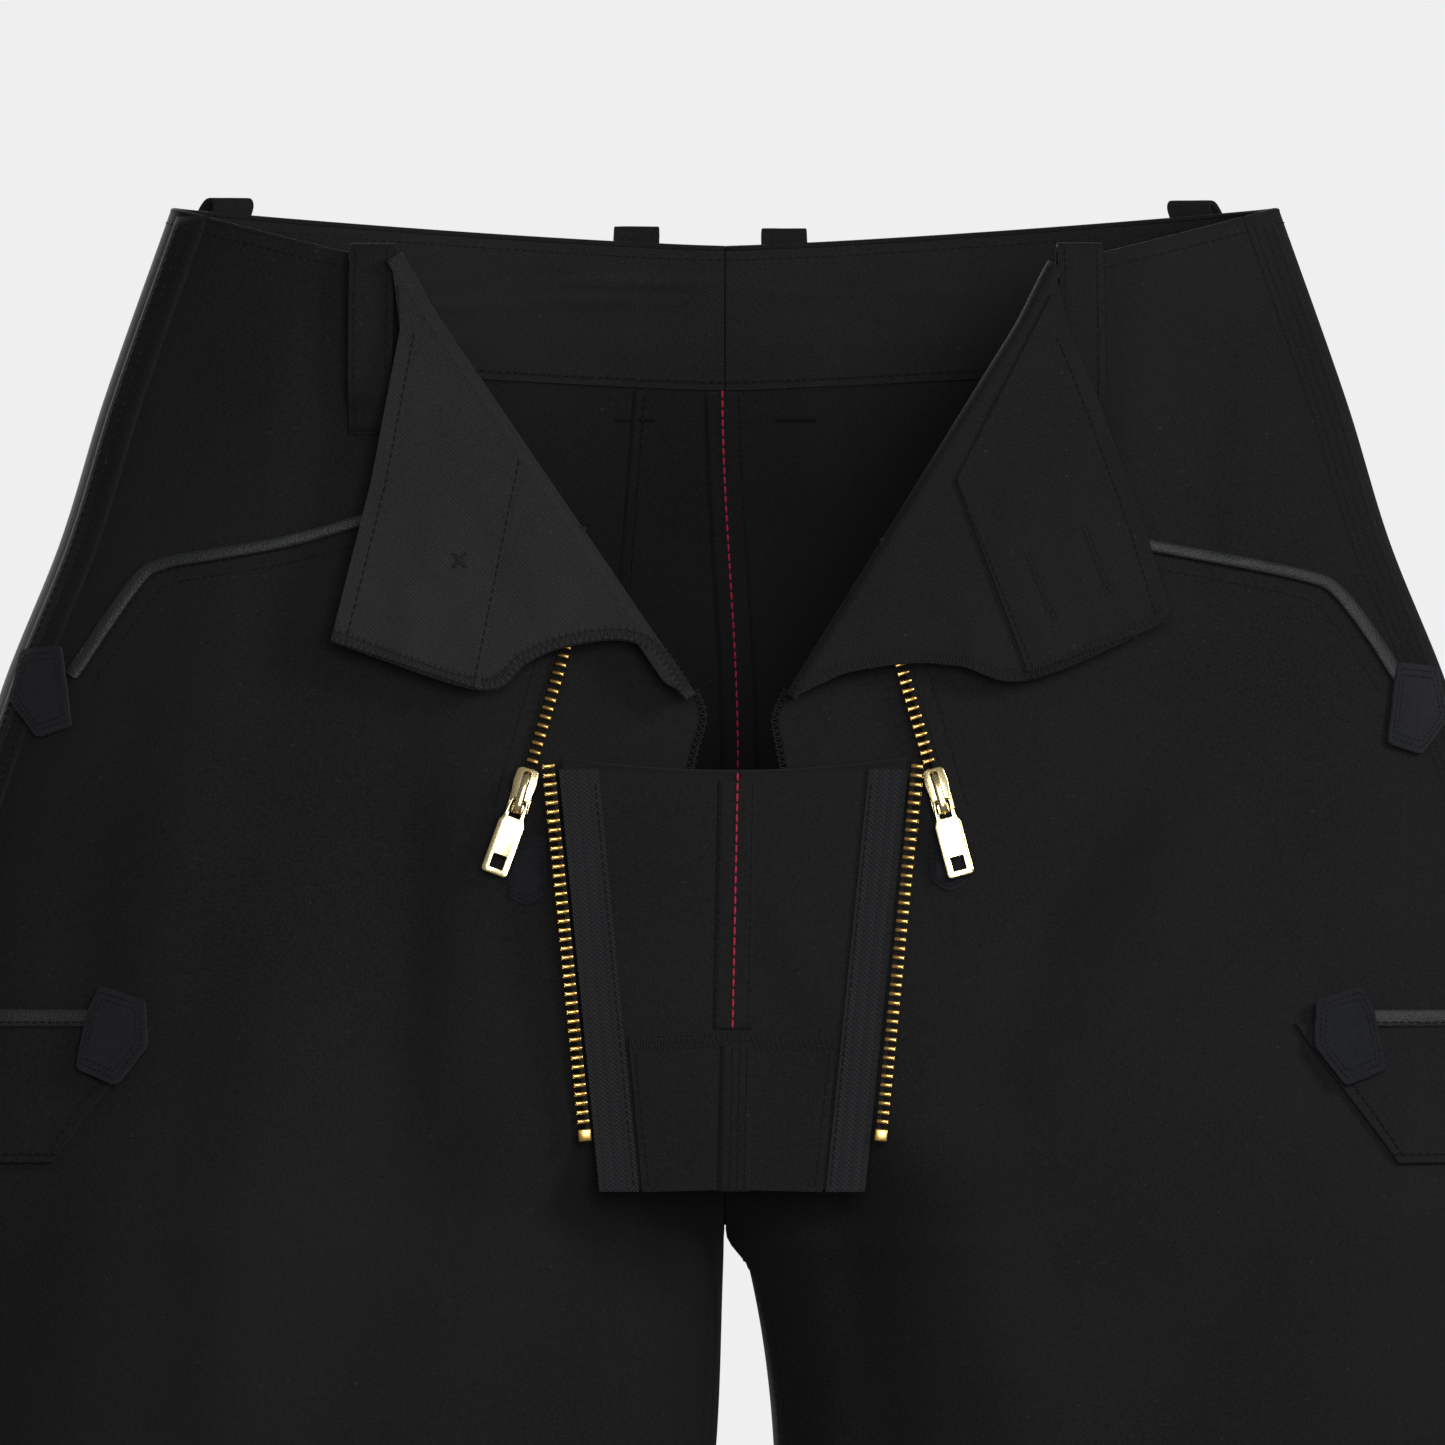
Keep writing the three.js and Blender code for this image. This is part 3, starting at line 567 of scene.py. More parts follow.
def clothFinish(name, look):
    f = Finish(name)
    place = f.place()
    u, v, _ = f.parts(f.weaveUv())
    blotch = f.cloudy(place, 9, 4)
    nap = f.cloudy(place, look["nap"], 2)
    soft = f.cloudy(place, 210, 3, 0.6)
    lint = f.node("ShaderNodeTexNoise", {}, {"Vector": place, "Scale": 520, "Detail": 1.0})
    # large random blotches: the colour below runs from 30% darker to 30% lighter than the cloth's grey
    blotchShare = f.node("ShaderNodeMath", {"operation": "ADD", "use_clamp": True}, {0: blotch * 2.4, 1: -0.7})
    fleck = f.node("ShaderNodeMath", {"operation": "ADD", "use_clamp": True}, {0: nap * 2.6, 1: -0.9})
    dark = f.blend(blotchShare, tone(look["grey"] * 0.7, look["tint"]), tone(look["grey"] * 1.3, look["tint"]))
    napped = f.blend(fleck * 0.6, dark, tone(look["grey"] * 2.1, look["tint"]))
    height = nap * 0.6 + soft * 0.7
    if look["rib"]:
        rib = ((u + v) * look["rib"]).wave()
        height = height + rib * 1.1
        napped = f.blend(rib * 0.45, napped, tone(look["grey"] * 0.5, look["tint"]))
    black, white = (0, 0, 0, 1), (1, 1, 1, 1)
    stops = [(0.0, black), (0.755, black), (0.785, white)]
    specks = f.node("ShaderNodeValToRGB", {"stops": stops}, {"Fac": lint})
    colour = f.blend(specks * 0.4, napped, tone(look["lint"], (1, 1, 1.08)))
    roughness = 0.82 + blotch * 0.16
    return f.done(colour, roughness, f.bump(height, 0.55, look["napDepth"]), Specular_IOR_Level=0.1,
                  Sheen_Weight=0.02, Sheen_Roughness=0.45)


def tapeFinish():
    f = Finish("herringboneTape")
    u, v, _ = f.parts(f.weaveUv())
    stripe = (u * 235).wave()  # the diagonals turn back at each stripe
    diagonal = (v * 620 + stripe * 1.3).wave()
    thread = f.cloudy(f.place(), 2600, 2)
    rib = (u * 235).wave().over(0.9)
    colour = f.blend(diagonal, tone(0.0045, (0.95, 1, 1.2)), tone(0.0125, (0.95, 1, 1.15)))
    colour = f.blend(rib * 0.6, colour, tone(0.004, (0.95, 1, 1.15)))
    return f.done(colour, 0.62 + thread * 0.2, f.bump(diagonal + thread * 0.3 - rib, 0.9, 0.00025),
                  Specular_IOR_Level=0.22)


def leatherFinish():
    f = Finish("pipingLeather")
    place = f.place()
    cells = f.node("ShaderNodeTexVoronoi", {"feature": "F1"}, {"Vector": place, "Scale": 1300})
    grain = f.cloudy(place, 900, 4)
    worn = f.cloudy(place, 60, 3)
    colour = f.blend(worn, tone(0.012, (0.94, 1.0, 0.99)), tone(0.021, (0.93, 1.0, 0.99)))
    colour = f.blend(grain * 0.5, colour, tone(0.009, (0.95, 1, 1)))
    return f.done(colour, 0.42 + grain * 0.25, f.bump(cells + grain, 0.6, 0.0003), Specular_IOR_Level=0.3)


def suedeFinish():
    f = Finish("patchSuede")
    place = f.place()
    pile = f.cloudy(place, 1500, 4, 0.7)
    tufts = f.cloudy(place, 420, 3, 0.6)
    colour = f.blend(tufts, tone(0.0035, (0.92, 1, 1.35)), tone(0.0125, (0.94, 1, 1.28)))
    colour = f.blend(pile * 0.4, colour, tone(0.022, (0.94, 1, 1.22)))
    return f.done(colour, 0.95, f.bump(pile + tufts, 1.0, 0.0006), Specular_IOR_Level=0.1, Sheen_Weight=0.05,
                  Sheen_Roughness=0.6)


def metalFinish(name, colour, dull, roughness):
    f = Finish(name)
    place = f.place()
    tarnish = f.cloudy(place, 240, 4)
    scratches = f.cloudy(place, 1700, 3)
    shade = f.blend(tarnish, colour, dull)
    return f.done(shade, roughness + scratches * 0.16, f.bump(scratches, 0.25, 0.00006), Metallic=1.0)


def threadFinish(name, colour, light):
    f = Finish(name)
    twist = f.cloudy(f.place(), 1800, 2)
    shade = f.blend(twist, colour, light)
    return f.done(shade, 0.6 + twist * 0.25, f.bump(twist, 0.5, 0.0001), Specular_IOR_Level=0.14)


def buttonFinish():
    f = Finish("buttonHorn")
    place = f.place()
    swirl = f.cloudy(place, 140, 5, 0.65)
    colour = f.blend(swirl, tone(0.005), tone(0.022, (1.1, 1, 0.9)))
    return f.done(colour, 0.28 + swirl * 0.15, f.bump(swirl, 0.15, 0.0001), Specular_IOR_Level=0.5)


bodyCloth = clothFinish("moleskin", clothLook["body"])
facingCloth = clothFinish("waistFacing", clothLook["facing"])
tabTwill = {"right": clothFinish("twill", clothLook["twill"]),
            "left": clothFinish("twillShaded", clothLook["twillShaded"])}  # the same twill with its grey lowered, a painted shade; the right tab's copy is painted lighter
zipTape = tapeFinish()
leather = leatherFinish()
suede = suedeFinish()
brass = metalFinish("brass", (0.80, 0.50, 0.15, 1), (0.55, 0.32, 0.09, 1), 0.2)
paleBrass = metalFinish("paleBrass", (0.93, 0.80, 0.46, 1), (0.86, 0.68, 0.34, 1), 0.14)
# the black thread is made darker than the cloth, partly its real colour and partly painted shade of the
# sunken seams
blackThreadSeamShade = threadFinish("blackThreadSeamShade", tone(0.003), tone(0.008, (1, 1, 1.05)))
edgeThread = threadFinish("edgeThread", tone(0.007, (1, 1, 1.1)), tone(0.017, (1, 1, 1.1)))
redThread = threadFinish("redThread", (0.22, 0.010, 0.032, 1), (0.45, 0.026, 0.07, 1))
buttonHorn = buttonFinish()
print("materials made")

# ---- panels ----
panel = {"columns": 100, "legRows": 90, "bodyRows": 125, "waistRows": 24, "denseZ": -425.0, "waistZ": -60.0}
panelRows = panel["legRows"] + panel["bodyRows"] + panel["waistRows"]
fold = {
    "shift": 3.0,  # the tab's roll begins this far outside its fold
    "lift": 9.0,
    "outerLift": 14.0,
    "rollShare": 0.84,  # the part of a roll that turns over, before it lies on its sheet
}


def rowZ(v, angle):
    row = v * panelRows
    if row <= panel["legRows"]:
        return mix(body["hemZ"], panel["denseZ"], row / panel["legRows"])
    row -= panel["legRows"]
    if row <= panel["bodyRows"]:
        return mix(panel["denseZ"], panel["waistZ"], row / panel["bodyRows"])
    row -= panel["bodyRows"]
    return mix(panel["waistZ"], waistEdgeZ(angle), row / panel["waistRows"])


def foldLine(half):
    return Line(half["foldTop"], half["foldEnd"])


def openingOutline(half):  # where the front panel ends: the tab's fold, the zip, the foot of the flap
    m = half["sign"]
    line = foldLine(half)
    shifted = Line(line.at(0, -m * fold["shift"]), line.at(line.length, -m * fold["shift"]))
    zipLine = Line(half["zipEnd"], half["zipTop"])
    top = shifted.at(-4)
    crossing = zipLine.at(zipLine.meets(shifted))
    foot = half["zipEnd"]
    return [(top[0], 40), top, crossing, foot, (-m, foot[1]), (-m, 40)]


def makePanel(side, half, face):
    m = half["sign"]

    def place(u, v):
        z = round(rowZ(v, 0.0 if v < 0.9 else 0.5 * pi), 3)
        angle = face * mix(0.004, endAngle(m, min(z, -61.0)), u)
        z = round(rowZ(v, angle), 4)
        if z > panel["waistZ"]:
            angle = face * mix(0.004, endAngle(m, z), u)
        return bodyPoint(m, z, angle)

    bm = clothGrid(panel["columns"], panelRows, place, (0.36, 1.11))
    turned(bm, lambda p: Vector((p.x - m * 130 * smooth(-p.z / 300), p.y, 0)))
    if face > 0:
        cutAlong(bm, openingOutline(half), keepInside=False)
    name = f"{side}_front" if face > 0 else f"{side}_back"
    addPiece(name, bm, bodyCloth, replaces=[f"{name}_panel"], thickness=body["clothThickness"], rim=0.5)


for side, half in halves.items():
    makePanel(side, half, 1)
    makePanel(side, half, -1)
print("panels made")

# ---- camera, light and floor ----
view = {
    "lens": 1000.0, "sensor": 36.0, "wide": 0.50575, "centre": (-0.0009, -0.1678), "front": -0.085,
    "floorRadius": 7.0, "background": 0.865, "ambient": 0.16,
}
lamps = {  # place, size and power
    "key": ((2.6, -2.0, 1.1), 1.0, 50),
    "front": ((0.4, -3.6, 0.3), 1.6, 84),
    "back": ((-1.4, 2.8, 0.9), 1.8, 120),
}


def makeStage():
    camera = bpy.data.objects.new("camera", bpy.data.cameras.new("camera"))
    scene.collection.objects.link(camera)
    camera.data.lens = view["lens"]
    camera.data.sensor_width = view["sensor"]
    away = view["wide"] * view["lens"] / view["sensor"]
    camera.location = (view["centre"][0], view["front"] - away, view["centre"][1])
    camera.rotation_euler = (pi / 2, 0, 0)
    camera.data.clip_end = 200
    scene.camera = camera
    scene.view_settings.view_transform = "Standard"

    bm = bmesh.new()
    bmesh.ops.create_circle(bm, cap_ends=True, segments=96, radius=view["floorRadius"])
    bmesh.ops.translate(bm, verts=bm.verts, vec=(0, 0, body["hemZ"] * toMetres - 0.001))
    mesh = bpy.data.meshes.new("floor")
    bm.to_mesh(mesh)
    bm.free()
    floor = bpy.data.objects.new("floor", mesh)
    scene.collection.objects.link(floor)
    f = Finish("floor")
    grain = f.cloudy(f.place(), 6, 3)
    shade = f.blend(grain, tone(0.10), tone(0.12))
    mesh.materials.append(f.done(shade, 0.8, Emission_Color=tone(0.8), Emission_Strength=1.0))
    floor.visible_diffuse = False
    floor.visible_glossy = False

    world = bpy.data.worlds.new("world")
    world.use_nodes = True
    tree = world.node_tree
    tree.nodes.clear()
    seen = tree.nodes.new("ShaderNodeBackground")
    seen.inputs[0].default_value = tone(view["background"])
    light = tree.nodes.new("ShaderNodeBackground")
    light.inputs[0].default_value = tone(view["ambient"])
    ray = tree.nodes.new("ShaderNodeLightPath")
    choose = tree.nodes.new("ShaderNodeMixShader")
    out = tree.nodes.new("ShaderNodeOutputWorld")
    tree.links.new(ray.outputs["Is Camera Ray"], choose.inputs[0])
    tree.links.new(light.outputs[0], choose.inputs[1])
    tree.links.new(seen.outputs[0], choose.inputs[2])
    tree.links.new(choose.outputs[0], out.inputs[0])
    scene.world = world

    for name, (place, size, power) in lamps.items():
        lamp = bpy.data.lights.new(name, "AREA")
        lamp.size = size
        lamp.energy = power
        made = bpy.data.objects.new(name, lamp)
        made.location = place
        made.visible_camera = False
        made.rotation_euler = (Vector((0, 0, -0.2)) - Vector(place)).to_track_quat("-Z", "Y").to_euler()
        scene.collection.objects.link(made)


makeStage()

# ---- waist: facing, edge and belt loops ----
waist = {
    "facingLift": -2.8, "facingThickness": 1.2, "stitchDrop": 4.4,
    "backEdge": (3.6, 2.4), "frontEdge": (2.8, 2.0),  # width and height of the turned edge
    "creases": [(-32, -12, 16, 3.4), (-45, -18, 12, 2.2), (40, -16, 22, 1.6), (-110, -20, 26, 1.4)],
}


def makeWaistFacing(side, half):
    m = half["sign"]

    def place(u, v):
        angle = -mix(0.03, endAngle(m, -1), u)
        z = waistEdgeZ(angle) - 1 - (1 - v) * body["waistFacingDepth"]
        p = bodyPoint(m, z, angle, mix(-1.86, waist["facingLift"], smooth(v / 0.35)))
        ripple = noise.noise(Vector((p.x / 30, 4, z / 14))) * 0.9
        for creaseX, creaseZ, wide, high in waist["creases"]:
            ripple += high * exp(-((p.x - creaseX) / (wide * 1.8)) ** 2 - ((z - creaseZ) / 2.2) ** 2)
        ripple *= smooth(min(v, 1 - v) / 0.15)
        return p + Vector((0, -abs(ripple) * 0.6 + ripple * 0.2, 0))

    bm = clothGrid(110, 30, place, (0.24, 0.05))
    turned(bm, lambda p: Vector((0, p.y, 0)))
    addPiece(f"{side}_waist_lining", bm, facingCloth, replaces=[f"{side}_waist_facing"],
             thickness=waist["facingThickness"], rim=0.12)


def edgePath(half, face, lift, drop, count=90):
    m = half["sign"]
    points = []
    x, z = half["foldTop"]
    last = endAngle(m, -1) if face < 0 else angleOf(x + m * fold["shift"], z)
    for i in range(count + 1):
        angle = face * mix(0.01, last, i / count)
        points.append(bodyPoint(m, waistEdgeZ(angle) - drop, angle, lift))
    return points


seams = []  # black stitching that rides on the trousers
for side, half in halves.items():
    makeWaistFacing(side, half)
    up = Vector((0, 0, 1))
    back = cordAlong(edgePath(half, -1, -2.0, 0.4), *waist["backEdge"], up=up)
    front = cordAlong(edgePath(half, 1, -1.2, 0.2), *waist["frontEdge"], up=up)
    addPiece(f"{side}_waist_edge", joined([back, front]), bodyCloth)
    inside = waist["facingLift"] - waist["facingThickness"]
    for face, lift in ((-1, inside), (-1, 0.05), (1, 0.05)):
        seams += stitches(edgePath(half, face, lift, waist["stitchDrop"]))
    seams += stitches(edgePath(half, -1, inside - 0.1, body["waistFacingDepth"] - 1.5))

loop = {"width": 16.0, "thickness": 1.7, "rise": 4.5, "length": 66.0}


def makeLoop(side, half, name, face, topX, footX):
    m = half["sign"]
    topAngle = face * angleOf(m * topX, 0)
    topZ = waistEdgeZ(topAngle) + loop["rise"]
    endZ = topZ - loop["length"]
    footAngle = face * angleOf(m * footX, endZ)
    foot, head = bodyPoint(m, endZ, footAngle), bodyPoint(m, topZ, topAngle)
    up = (head - foot).normalized()
    out = (bodyPoint(m, endZ, footAngle + 0.05) - foot).cross(up).normalized()
    if out.dot(foot) < 0:
        out.negate()
    across = up.cross(out)
    across = Vector((across.x, across.y * 0.5, 0)).normalized()  # the cloth is pressed flat here
    high = (head - foot).length + 1.5
    profile = [(1.2, 0), (2.3, 3), (3.4, 8), (6.6, 14), (8.0, 24), (8.4, 40), (8.2, 54), (6.8, high - 4),
               (3.6, high - 0.4), (0.4, high - 2.4), (-0.6, high - 8)]
    curve = rounded(profile, 64)

    def place(u, v):
        n, along = curve[min(round(v * 64), 64)]
        aside = (u - 0.5) * loop["width"]
        curl = 0.5 * noise.noise(Vector((along / 20, u * 2, topX)))
        return foot + out * (n + curl - 0.25 * (2 * u - 1) ** 4) + up * along + across * aside

    bm = clothGrid(10, 64, place, (0.016, 0.08))
    turned(bm, lambda p: out if (p - foot).dot(up) < 50 else Vector((0, 0, 0)))
    addPiece(f"{side}_{name}", bm, bodyCloth, replaces=[f"{side}_{name}_loop"],
             thickness=loop["thickness"], rim=0.45)
    for edge in (-5.6, 5.6):
        row = [foot + out * (n + 0.12) + up * a + across * edge for n, a in curve[2:54]]
        seams.extend(stitches(row, 2.8, 2.0, 0.28))
    tack = []
    for i in range(36):
        tack.append(foot + out * 2.4 + up * (2.8 if i % 2 else 1.2) + across * ((i / 35 - 0.5) * 14))
    seams.append(threads(list(zip(tack, tack[1:])), 0.26))


for side, half in halves.items():
    makeLoop(side, half, "centre_back", -1, half["centreLoop"], half["centreLoop"] + 2)
    makeLoop(side, half, "side_back", -1, half["sideLoop"], half["sideLoop"] + 22)
    makeLoop(side, half, "front", 1, half["frontLoop"], half["frontLoop"] + 1)
print("waist made")

# ---- pockets ----
piping = {"wide": 4.5, "high": 2.6, "lift": 0.2, "thighWide": 6.4, "stitchGaps": (7.5, 2.6), "steps": 110}
pocketBag = [(126, -94), (212, -124), (224, -262), (130, -268)]
thighPocket = {"frontAngle": 0.93, "backAngle": -0.75, "top": -273.0, "bottom": -322.0, "lift": 2.6}
patches = {  # the node that a patch stands for, the key of its middle, its lift and its outline
    "pocket_patch": ("hand_pocket_patch", "upperPatch", 2.6,
                     [(-7, 14), (7, 15.5), (10.5, -13), (-1.5, -17), (-11, -4)]),
    "pouch_patch": ("thigh_pocket_patch", "thighPatch", 6.0,
                    [(-5, 17), (10.5, 12), (11, -4), (0, -18), (-13.5, -12), (-9.5, 8)]),
    "zip_foot_patch": ("zip_patch", "zipPatch", 0.0,
                       [(-6.5, 10), (6.5, 12), (6.5, -9), (0, -13), (-6.5, -10)]),
}


def softCorners(outline, radius=1.6):
    made = []
    for i, p in enumerate(outline):
        before, after = Vector(outline[i - 1]), Vector(outline[(i + 1) % len(outline)])
        p = Vector(p)
        a, b = p + (before - p).normalized() * radius, p + (after - p).normalized() * radius
        made += [a, p * 0.5 + (a + b) * 0.25, b]
    return [tuple(q) for q in made]


def makePatch(name, node, centre, sign, lift, shape):
    outline = [(centre[0] - sign * x, centre[1] + z) for x, z in shape]

    def crown(x, z, rise):
        return onFront(x, z, rise + 0.3 * noise.noise(Vector((x / 5, 1, z / 5))))

    patch = cutSheet(softCorners(outline), crown, lift + 1.1, 1.6)
    addPiece(name, patch, suede, replaces=[node], thickness=1.3, rim=0.45)
    middle = Vector((sum(p[0] for p in outline) / len(outline), sum(p[1] for p in outline) / len(outline)))
    for share in (0.86, 0.72):
        ring = [tuple(middle.lerp(Vector(p), share)) for p in outline]
        rim = laid([Vector(p) for p in ring + ring[:1]], onFront, lift + 1.15)
        patchSeams.extend(stitches(rim, 1.9, 1.2, 0.24))


def makePocketMouth(side, half):
    m = half["sign"]
    steps = piping["steps"]
    route = rounded([Vector(p) for p in half["slantPiping"]], steps)

    def place(u, v):
        i = min(round(v * steps), steps)
        p = route[i]
        way = (route[min(i + 1, steps)] - route[max(i - 1, 0)]).normalized()
        turn = 2 * pi * u
        aside = signed(cos(turn), 0.8) * piping["wide"] / 2
        wobble = 0.18 * noise.noise(Vector((p.x / 6, u * 4, p.y / 6)))
        rise = piping["lift"] + piping["high"] / 2 * (1 + sin(turn)) + wobble
        return onFront(p.x - way.y * aside, p.y + way.x * aside, rise)

    addPiece(f"{side}_pocket_piping", tube(14, steps, place), leather,
             replaces=[f"{side}_hand_pocket_piping"])
    for gap in piping["stitchGaps"]:
        seams.extend(stitches(laid(beside(route, m * -gap), onFront, 0.05)))
    topIn, topOut, lowOut, lowIn = [Vector((m * x, z)) for x, z in pocketBag]

    def bagPoint(u, v):
        p = lowIn.lerp(lowOut, u).lerp(topIn.lerp(topOut, u), v)
        return onFront(p.x, p.y, -2.6 - 0.8 * (1 + noise.noise(Vector((p.x / 25, 2, p.y / 25)))) * 0.5)

    bag = turned(clothGrid(30, 44, bagPoint, (0.1, 0.16)), (0, -1, 0))
    addPiece(f"{side}_pocket_bag", bag, facingCloth, replaces=[f"{side}_hand_pocket_bag"], thickness=1.1,
             rim=0.3)


def makeThighPocket(side, half):
    m = half["sign"]
    frontEnd, backEnd, high, low, lift = thighPocket.values()

    def place(u, v):
        angle = mix(backEnd, frontEnd + 0.02 * (v - 0.3), u)
        crown = 1.2 * smooth(v / 0.3) * smooth(min(u, 1 - u) / 0.1)
        return bodyPoint(m, mix(low, high, v), angle, lift + crown)

    bm = turned(clothGrid(90, 22, place, (0.2, 0.05)), lambda p: Vector((p.x, p.y * 2, 0)))
    addPiece(f"{side}_thigh_pouch", bm, bodyCloth, replaces=[f"{side}_thigh_pocket"],
             thickness=1.8, rim=0.5)

    def ring(angles, heights, rise, count=80):
        shares = [i / count for i in range(count + 1)]
        return [bodyPoint(m, mix(*heights, share), mix(*angles, share), lift + rise) for share in shares]

    seams.extend(stitches(ring((backEnd, frontEnd), (low + 3, low + 3), 0.5)))
    seams.extend(stitches(ring((frontEnd - 0.03, frontEnd - 0.02), (low + 2, high - 8), 0.4)))
    steps = piping["steps"]
    pipe = ring((backEnd, frontEnd - 0.085), (high + 1.6, high + 1.6), 2.2, steps)

    def pipePoint(u, v):
        i = min(round(v * steps), steps)
        out = Vector((pipe[i].x - m * 140, pipe[i].y * 2, 0)).normalized()
        turn = 2 * pi * u
        wobble = 0.2 * noise.noise(Vector((i / 6, u * 4, m)))
        rise = Vector((0, 0, signed(cos(turn), 0.8) * piping["thighWide"] / 2))
        return pipe[i] + rise + out * ((1.35 + wobble) * sin(turn))

    addPiece(f"{side}_thigh_piping", tube(14, steps, pipePoint), leather,
             replaces=[f"{side}_thigh_pocket_piping"])
    seams.extend(stitches(ring((backEnd, frontEnd - 0.06), (high + 0.1, high + 0.1), 3.4)))


patchSeams = []
for side, half in halves.items():
    makePocketMouth(side, half)
    makeThighPocket(side, half)
    for name, (node, key, lift, shape) in patches.items():
        makePatch(f"{side}_{name}", f"{side}_{node}", half[key], half["sign"], lift, shape)
addPiece("patch_stitching", joined(patchSeams), blackThreadSeamShade)
print("pockets made")

# ---- sewn seams ----
felled = {
    "inset": (5.5, 8.7, 12.0), "wide": 11.5, "proud": 0.7, "backInset": (4.0, 8.0),
    "hemStitch": 22.0, "hemDeep": 25.0,
}
dart = {"x": (-35.2, -29.8), "z": (-122.0, -50.5)}  # the pressed pleat inside the back, low end first


def sideAngle(m, z, inset):
    centre, half, front, back = section(m, z)
    return acos(((half - inset) / half) ** (body["roundness"] / 2))


def makeFelledSeams(side, half):
    m = half["sign"]
    top = body["sideRise"] - 1.5

    def sidePlace(u, v):
        z = round(mix(body["hemZ"] + 0.5, top - 1, v), 3)
        edge = min(u, 1 - u)
        proud = felled["proud"] * smooth(edge / 0.12) + 0.02
        return bodyPoint(m, z, sideAngle(m, z, mix(3.0, 3.0 + felled["wide"], u)), proud)

    bm = turned(clothGrid(10, 300, sidePlace, (0.0115, 1.1)), lambda p: Vector((m, -1, 0)))
    addPiece(f"{side}_side_seam", bm, bodyCloth, thickness=0.9)
    heights = [mix(top - 4, body["hemZ"] + 2, i / 360) for i in range(361)]
    for inset in felled["inset"]:
        row = [bodyPoint(m, z, sideAngle(m, z, inset), felled["proud"] + 0.08) for z in heights]
        seams.extend(stitches(row, 3.1))
    for inset in felled["backInset"]:
        row = [bodyPoint(m, z, -sideAngle(m, z, inset), 0.05) for z in heights]
        seams.extend(stitches(row, 3.1))
    legs = [mix(-366, body["hemZ"] + 2, i / 250) for i in range(251)]
    for angle in (pi - 0.2, pi - 0.3):
        seams.extend(stitches([bodyPoint(m, z, angle, 0.05) for z in legs], 3.1))
    for face in (1, -1):
        turns = [face * mix(0.02, pi - 0.02, i / 120) for i in range(121)]
        hem = [bodyPoint(m, body["hemZ"] + felled["hemStitch"], turn, 0.05) for turn in turns]
        seams.extend(stitches(hem, 3.2))

    def hemPlace(u, v):
        angle = mix(-pi + 0.01, pi - 0.01, u)
        return bodyPoint(m, body["hemZ"] + 0.6 + v * felled["hemDeep"], angle, -1.9)

    hem = turned(clothGrid(160, 6, hemPlace, (0.75, 0.025)), lambda p: Vector((p.x - m * 158, p.y, 0)))
    addPiece(f"{side}_hem", hem, bodyCloth, thickness=1.4, rim=0.3)


def backSeamX(z):  # the centre-back seam wanders a little
    return mix(-1.0, 4.6, smooth((-50 - z) / 130))


def makeBackSeam():
    def inside(u, v):
        z = mix(-330, -50.5, v)
        proud = 0.7 * smooth(min(u, 1 - u) / 0.12)
        return onBack(backSeamX(z) + mix(-6.5, 7.5, u), z, -1.8 - proud)

    bm = turned(clothGrid(14, 140, inside, (0.014, 0.28)), (0, -1, 0))
    addPiece("centre_back_seam_inside", bm, bodyCloth, thickness=0.6)
    heights = [mix(-52, -328, i / 140) for i in range(141)]
    for offset in (-5.2, 6.2):
        seams.extend(stitches([onBack(backSeamX(z) + offset, z, -2.6) for z in heights], 2.6))

    def outside(u, v):
        z = mix(-345, 0.7, v)
        proud = 0.7 * smooth(min(u, 1 - u) / 0.12)
        return onBack(mix(-5, 5, u), z, 0.02 + proud)

    bm = turned(clothGrid(10, 150, outside, (0.01, 0.34)), (0, 1, 0))
    addPiece("centre_back_seam", bm, bodyCloth, thickness=0.9)
    heights = [mix(-4, -343, i / 160) for i in range(161)]
    for offset in (-3.4, 0.0, 3.4):
        seams.extend(stitches([onBack(offset, z, 0.8) for z in heights], 3.0))
    low = [mix(-336, -361, i / 20) for i in range(21)]
    for m in (-1, 1):
        seams.extend(stitches([onBack(m * 6.0, z, 0.05) for z in low], 3.0))

    def dartPoint(u, v):
        crest = 1.1 * exp(-((u - 0.25) / 0.2) ** 2)
        return onBack(mix(*dart["x"], v) + mix(-3.0, 3.0, u), mix(*dart["z"], v), -1.82 - crest)

    bm = turned(clothGrid(16, 50, dartPoint, (0.006, 0.07)), (0, -1, 0))
    addPiece("back_dart", bm, bodyCloth, thickness=0.4)
    row = [onBack(mix(*dart["x"], i / 40) + 1.2, mix(-120, -52, i / 40), -2.3) for i in range(41)]
    seams.extend(stitches(row, 2.8))
    for x in (-32, 25.5):
        seams.append(barTack((x, -60.5), (1, 0), lambda px, pz, lift: onBack(px, pz, -1.9 - lift)))
    red = [onBack(backSeamX(z), z, -3.0) for z in [mix(-50, -300, i / 160) for i in range(161)]]
    return stitches(red, 3.5, 2.7, 0.5)


for side, half in halves.items():
    makeFelledSeams(side, half)
redSeam = makeBackSeam()
addPiece("red_back_stitching", joined(redSeam), redThread)
print("seams made")

# ---- zips ----
zipper = {
    "pitch": 3.2, "tooth": 4.1, "toothWide": 1.45, "toothHigh": 2.3, "bead": 1.9, "flapTeeth": 40,
    "flapStart": 1.6, "stopLong": 4.4, "stopWide": 4.6,
    "middle": -0.85,  # the slider's middle, beside the front chain's line
}


def softened(bm, geom, offset, segments, affect="EDGES"):
    bmesh.ops.bevel(bm, geom=geom, offset=offset, offset_type="OFFSET", affect=affect, segments=segments,
                    profile=0.5, material=-1)


def block(size, offset, segments):  # a cube with softened edges
    bm = bmesh.new()
    bmesh.ops.create_cube(bm, size=1.0)
    bmesh.ops.scale(bm, vec=size, verts=bm.verts)
    softened(bm, bm.edges, offset, segments)
    return bm


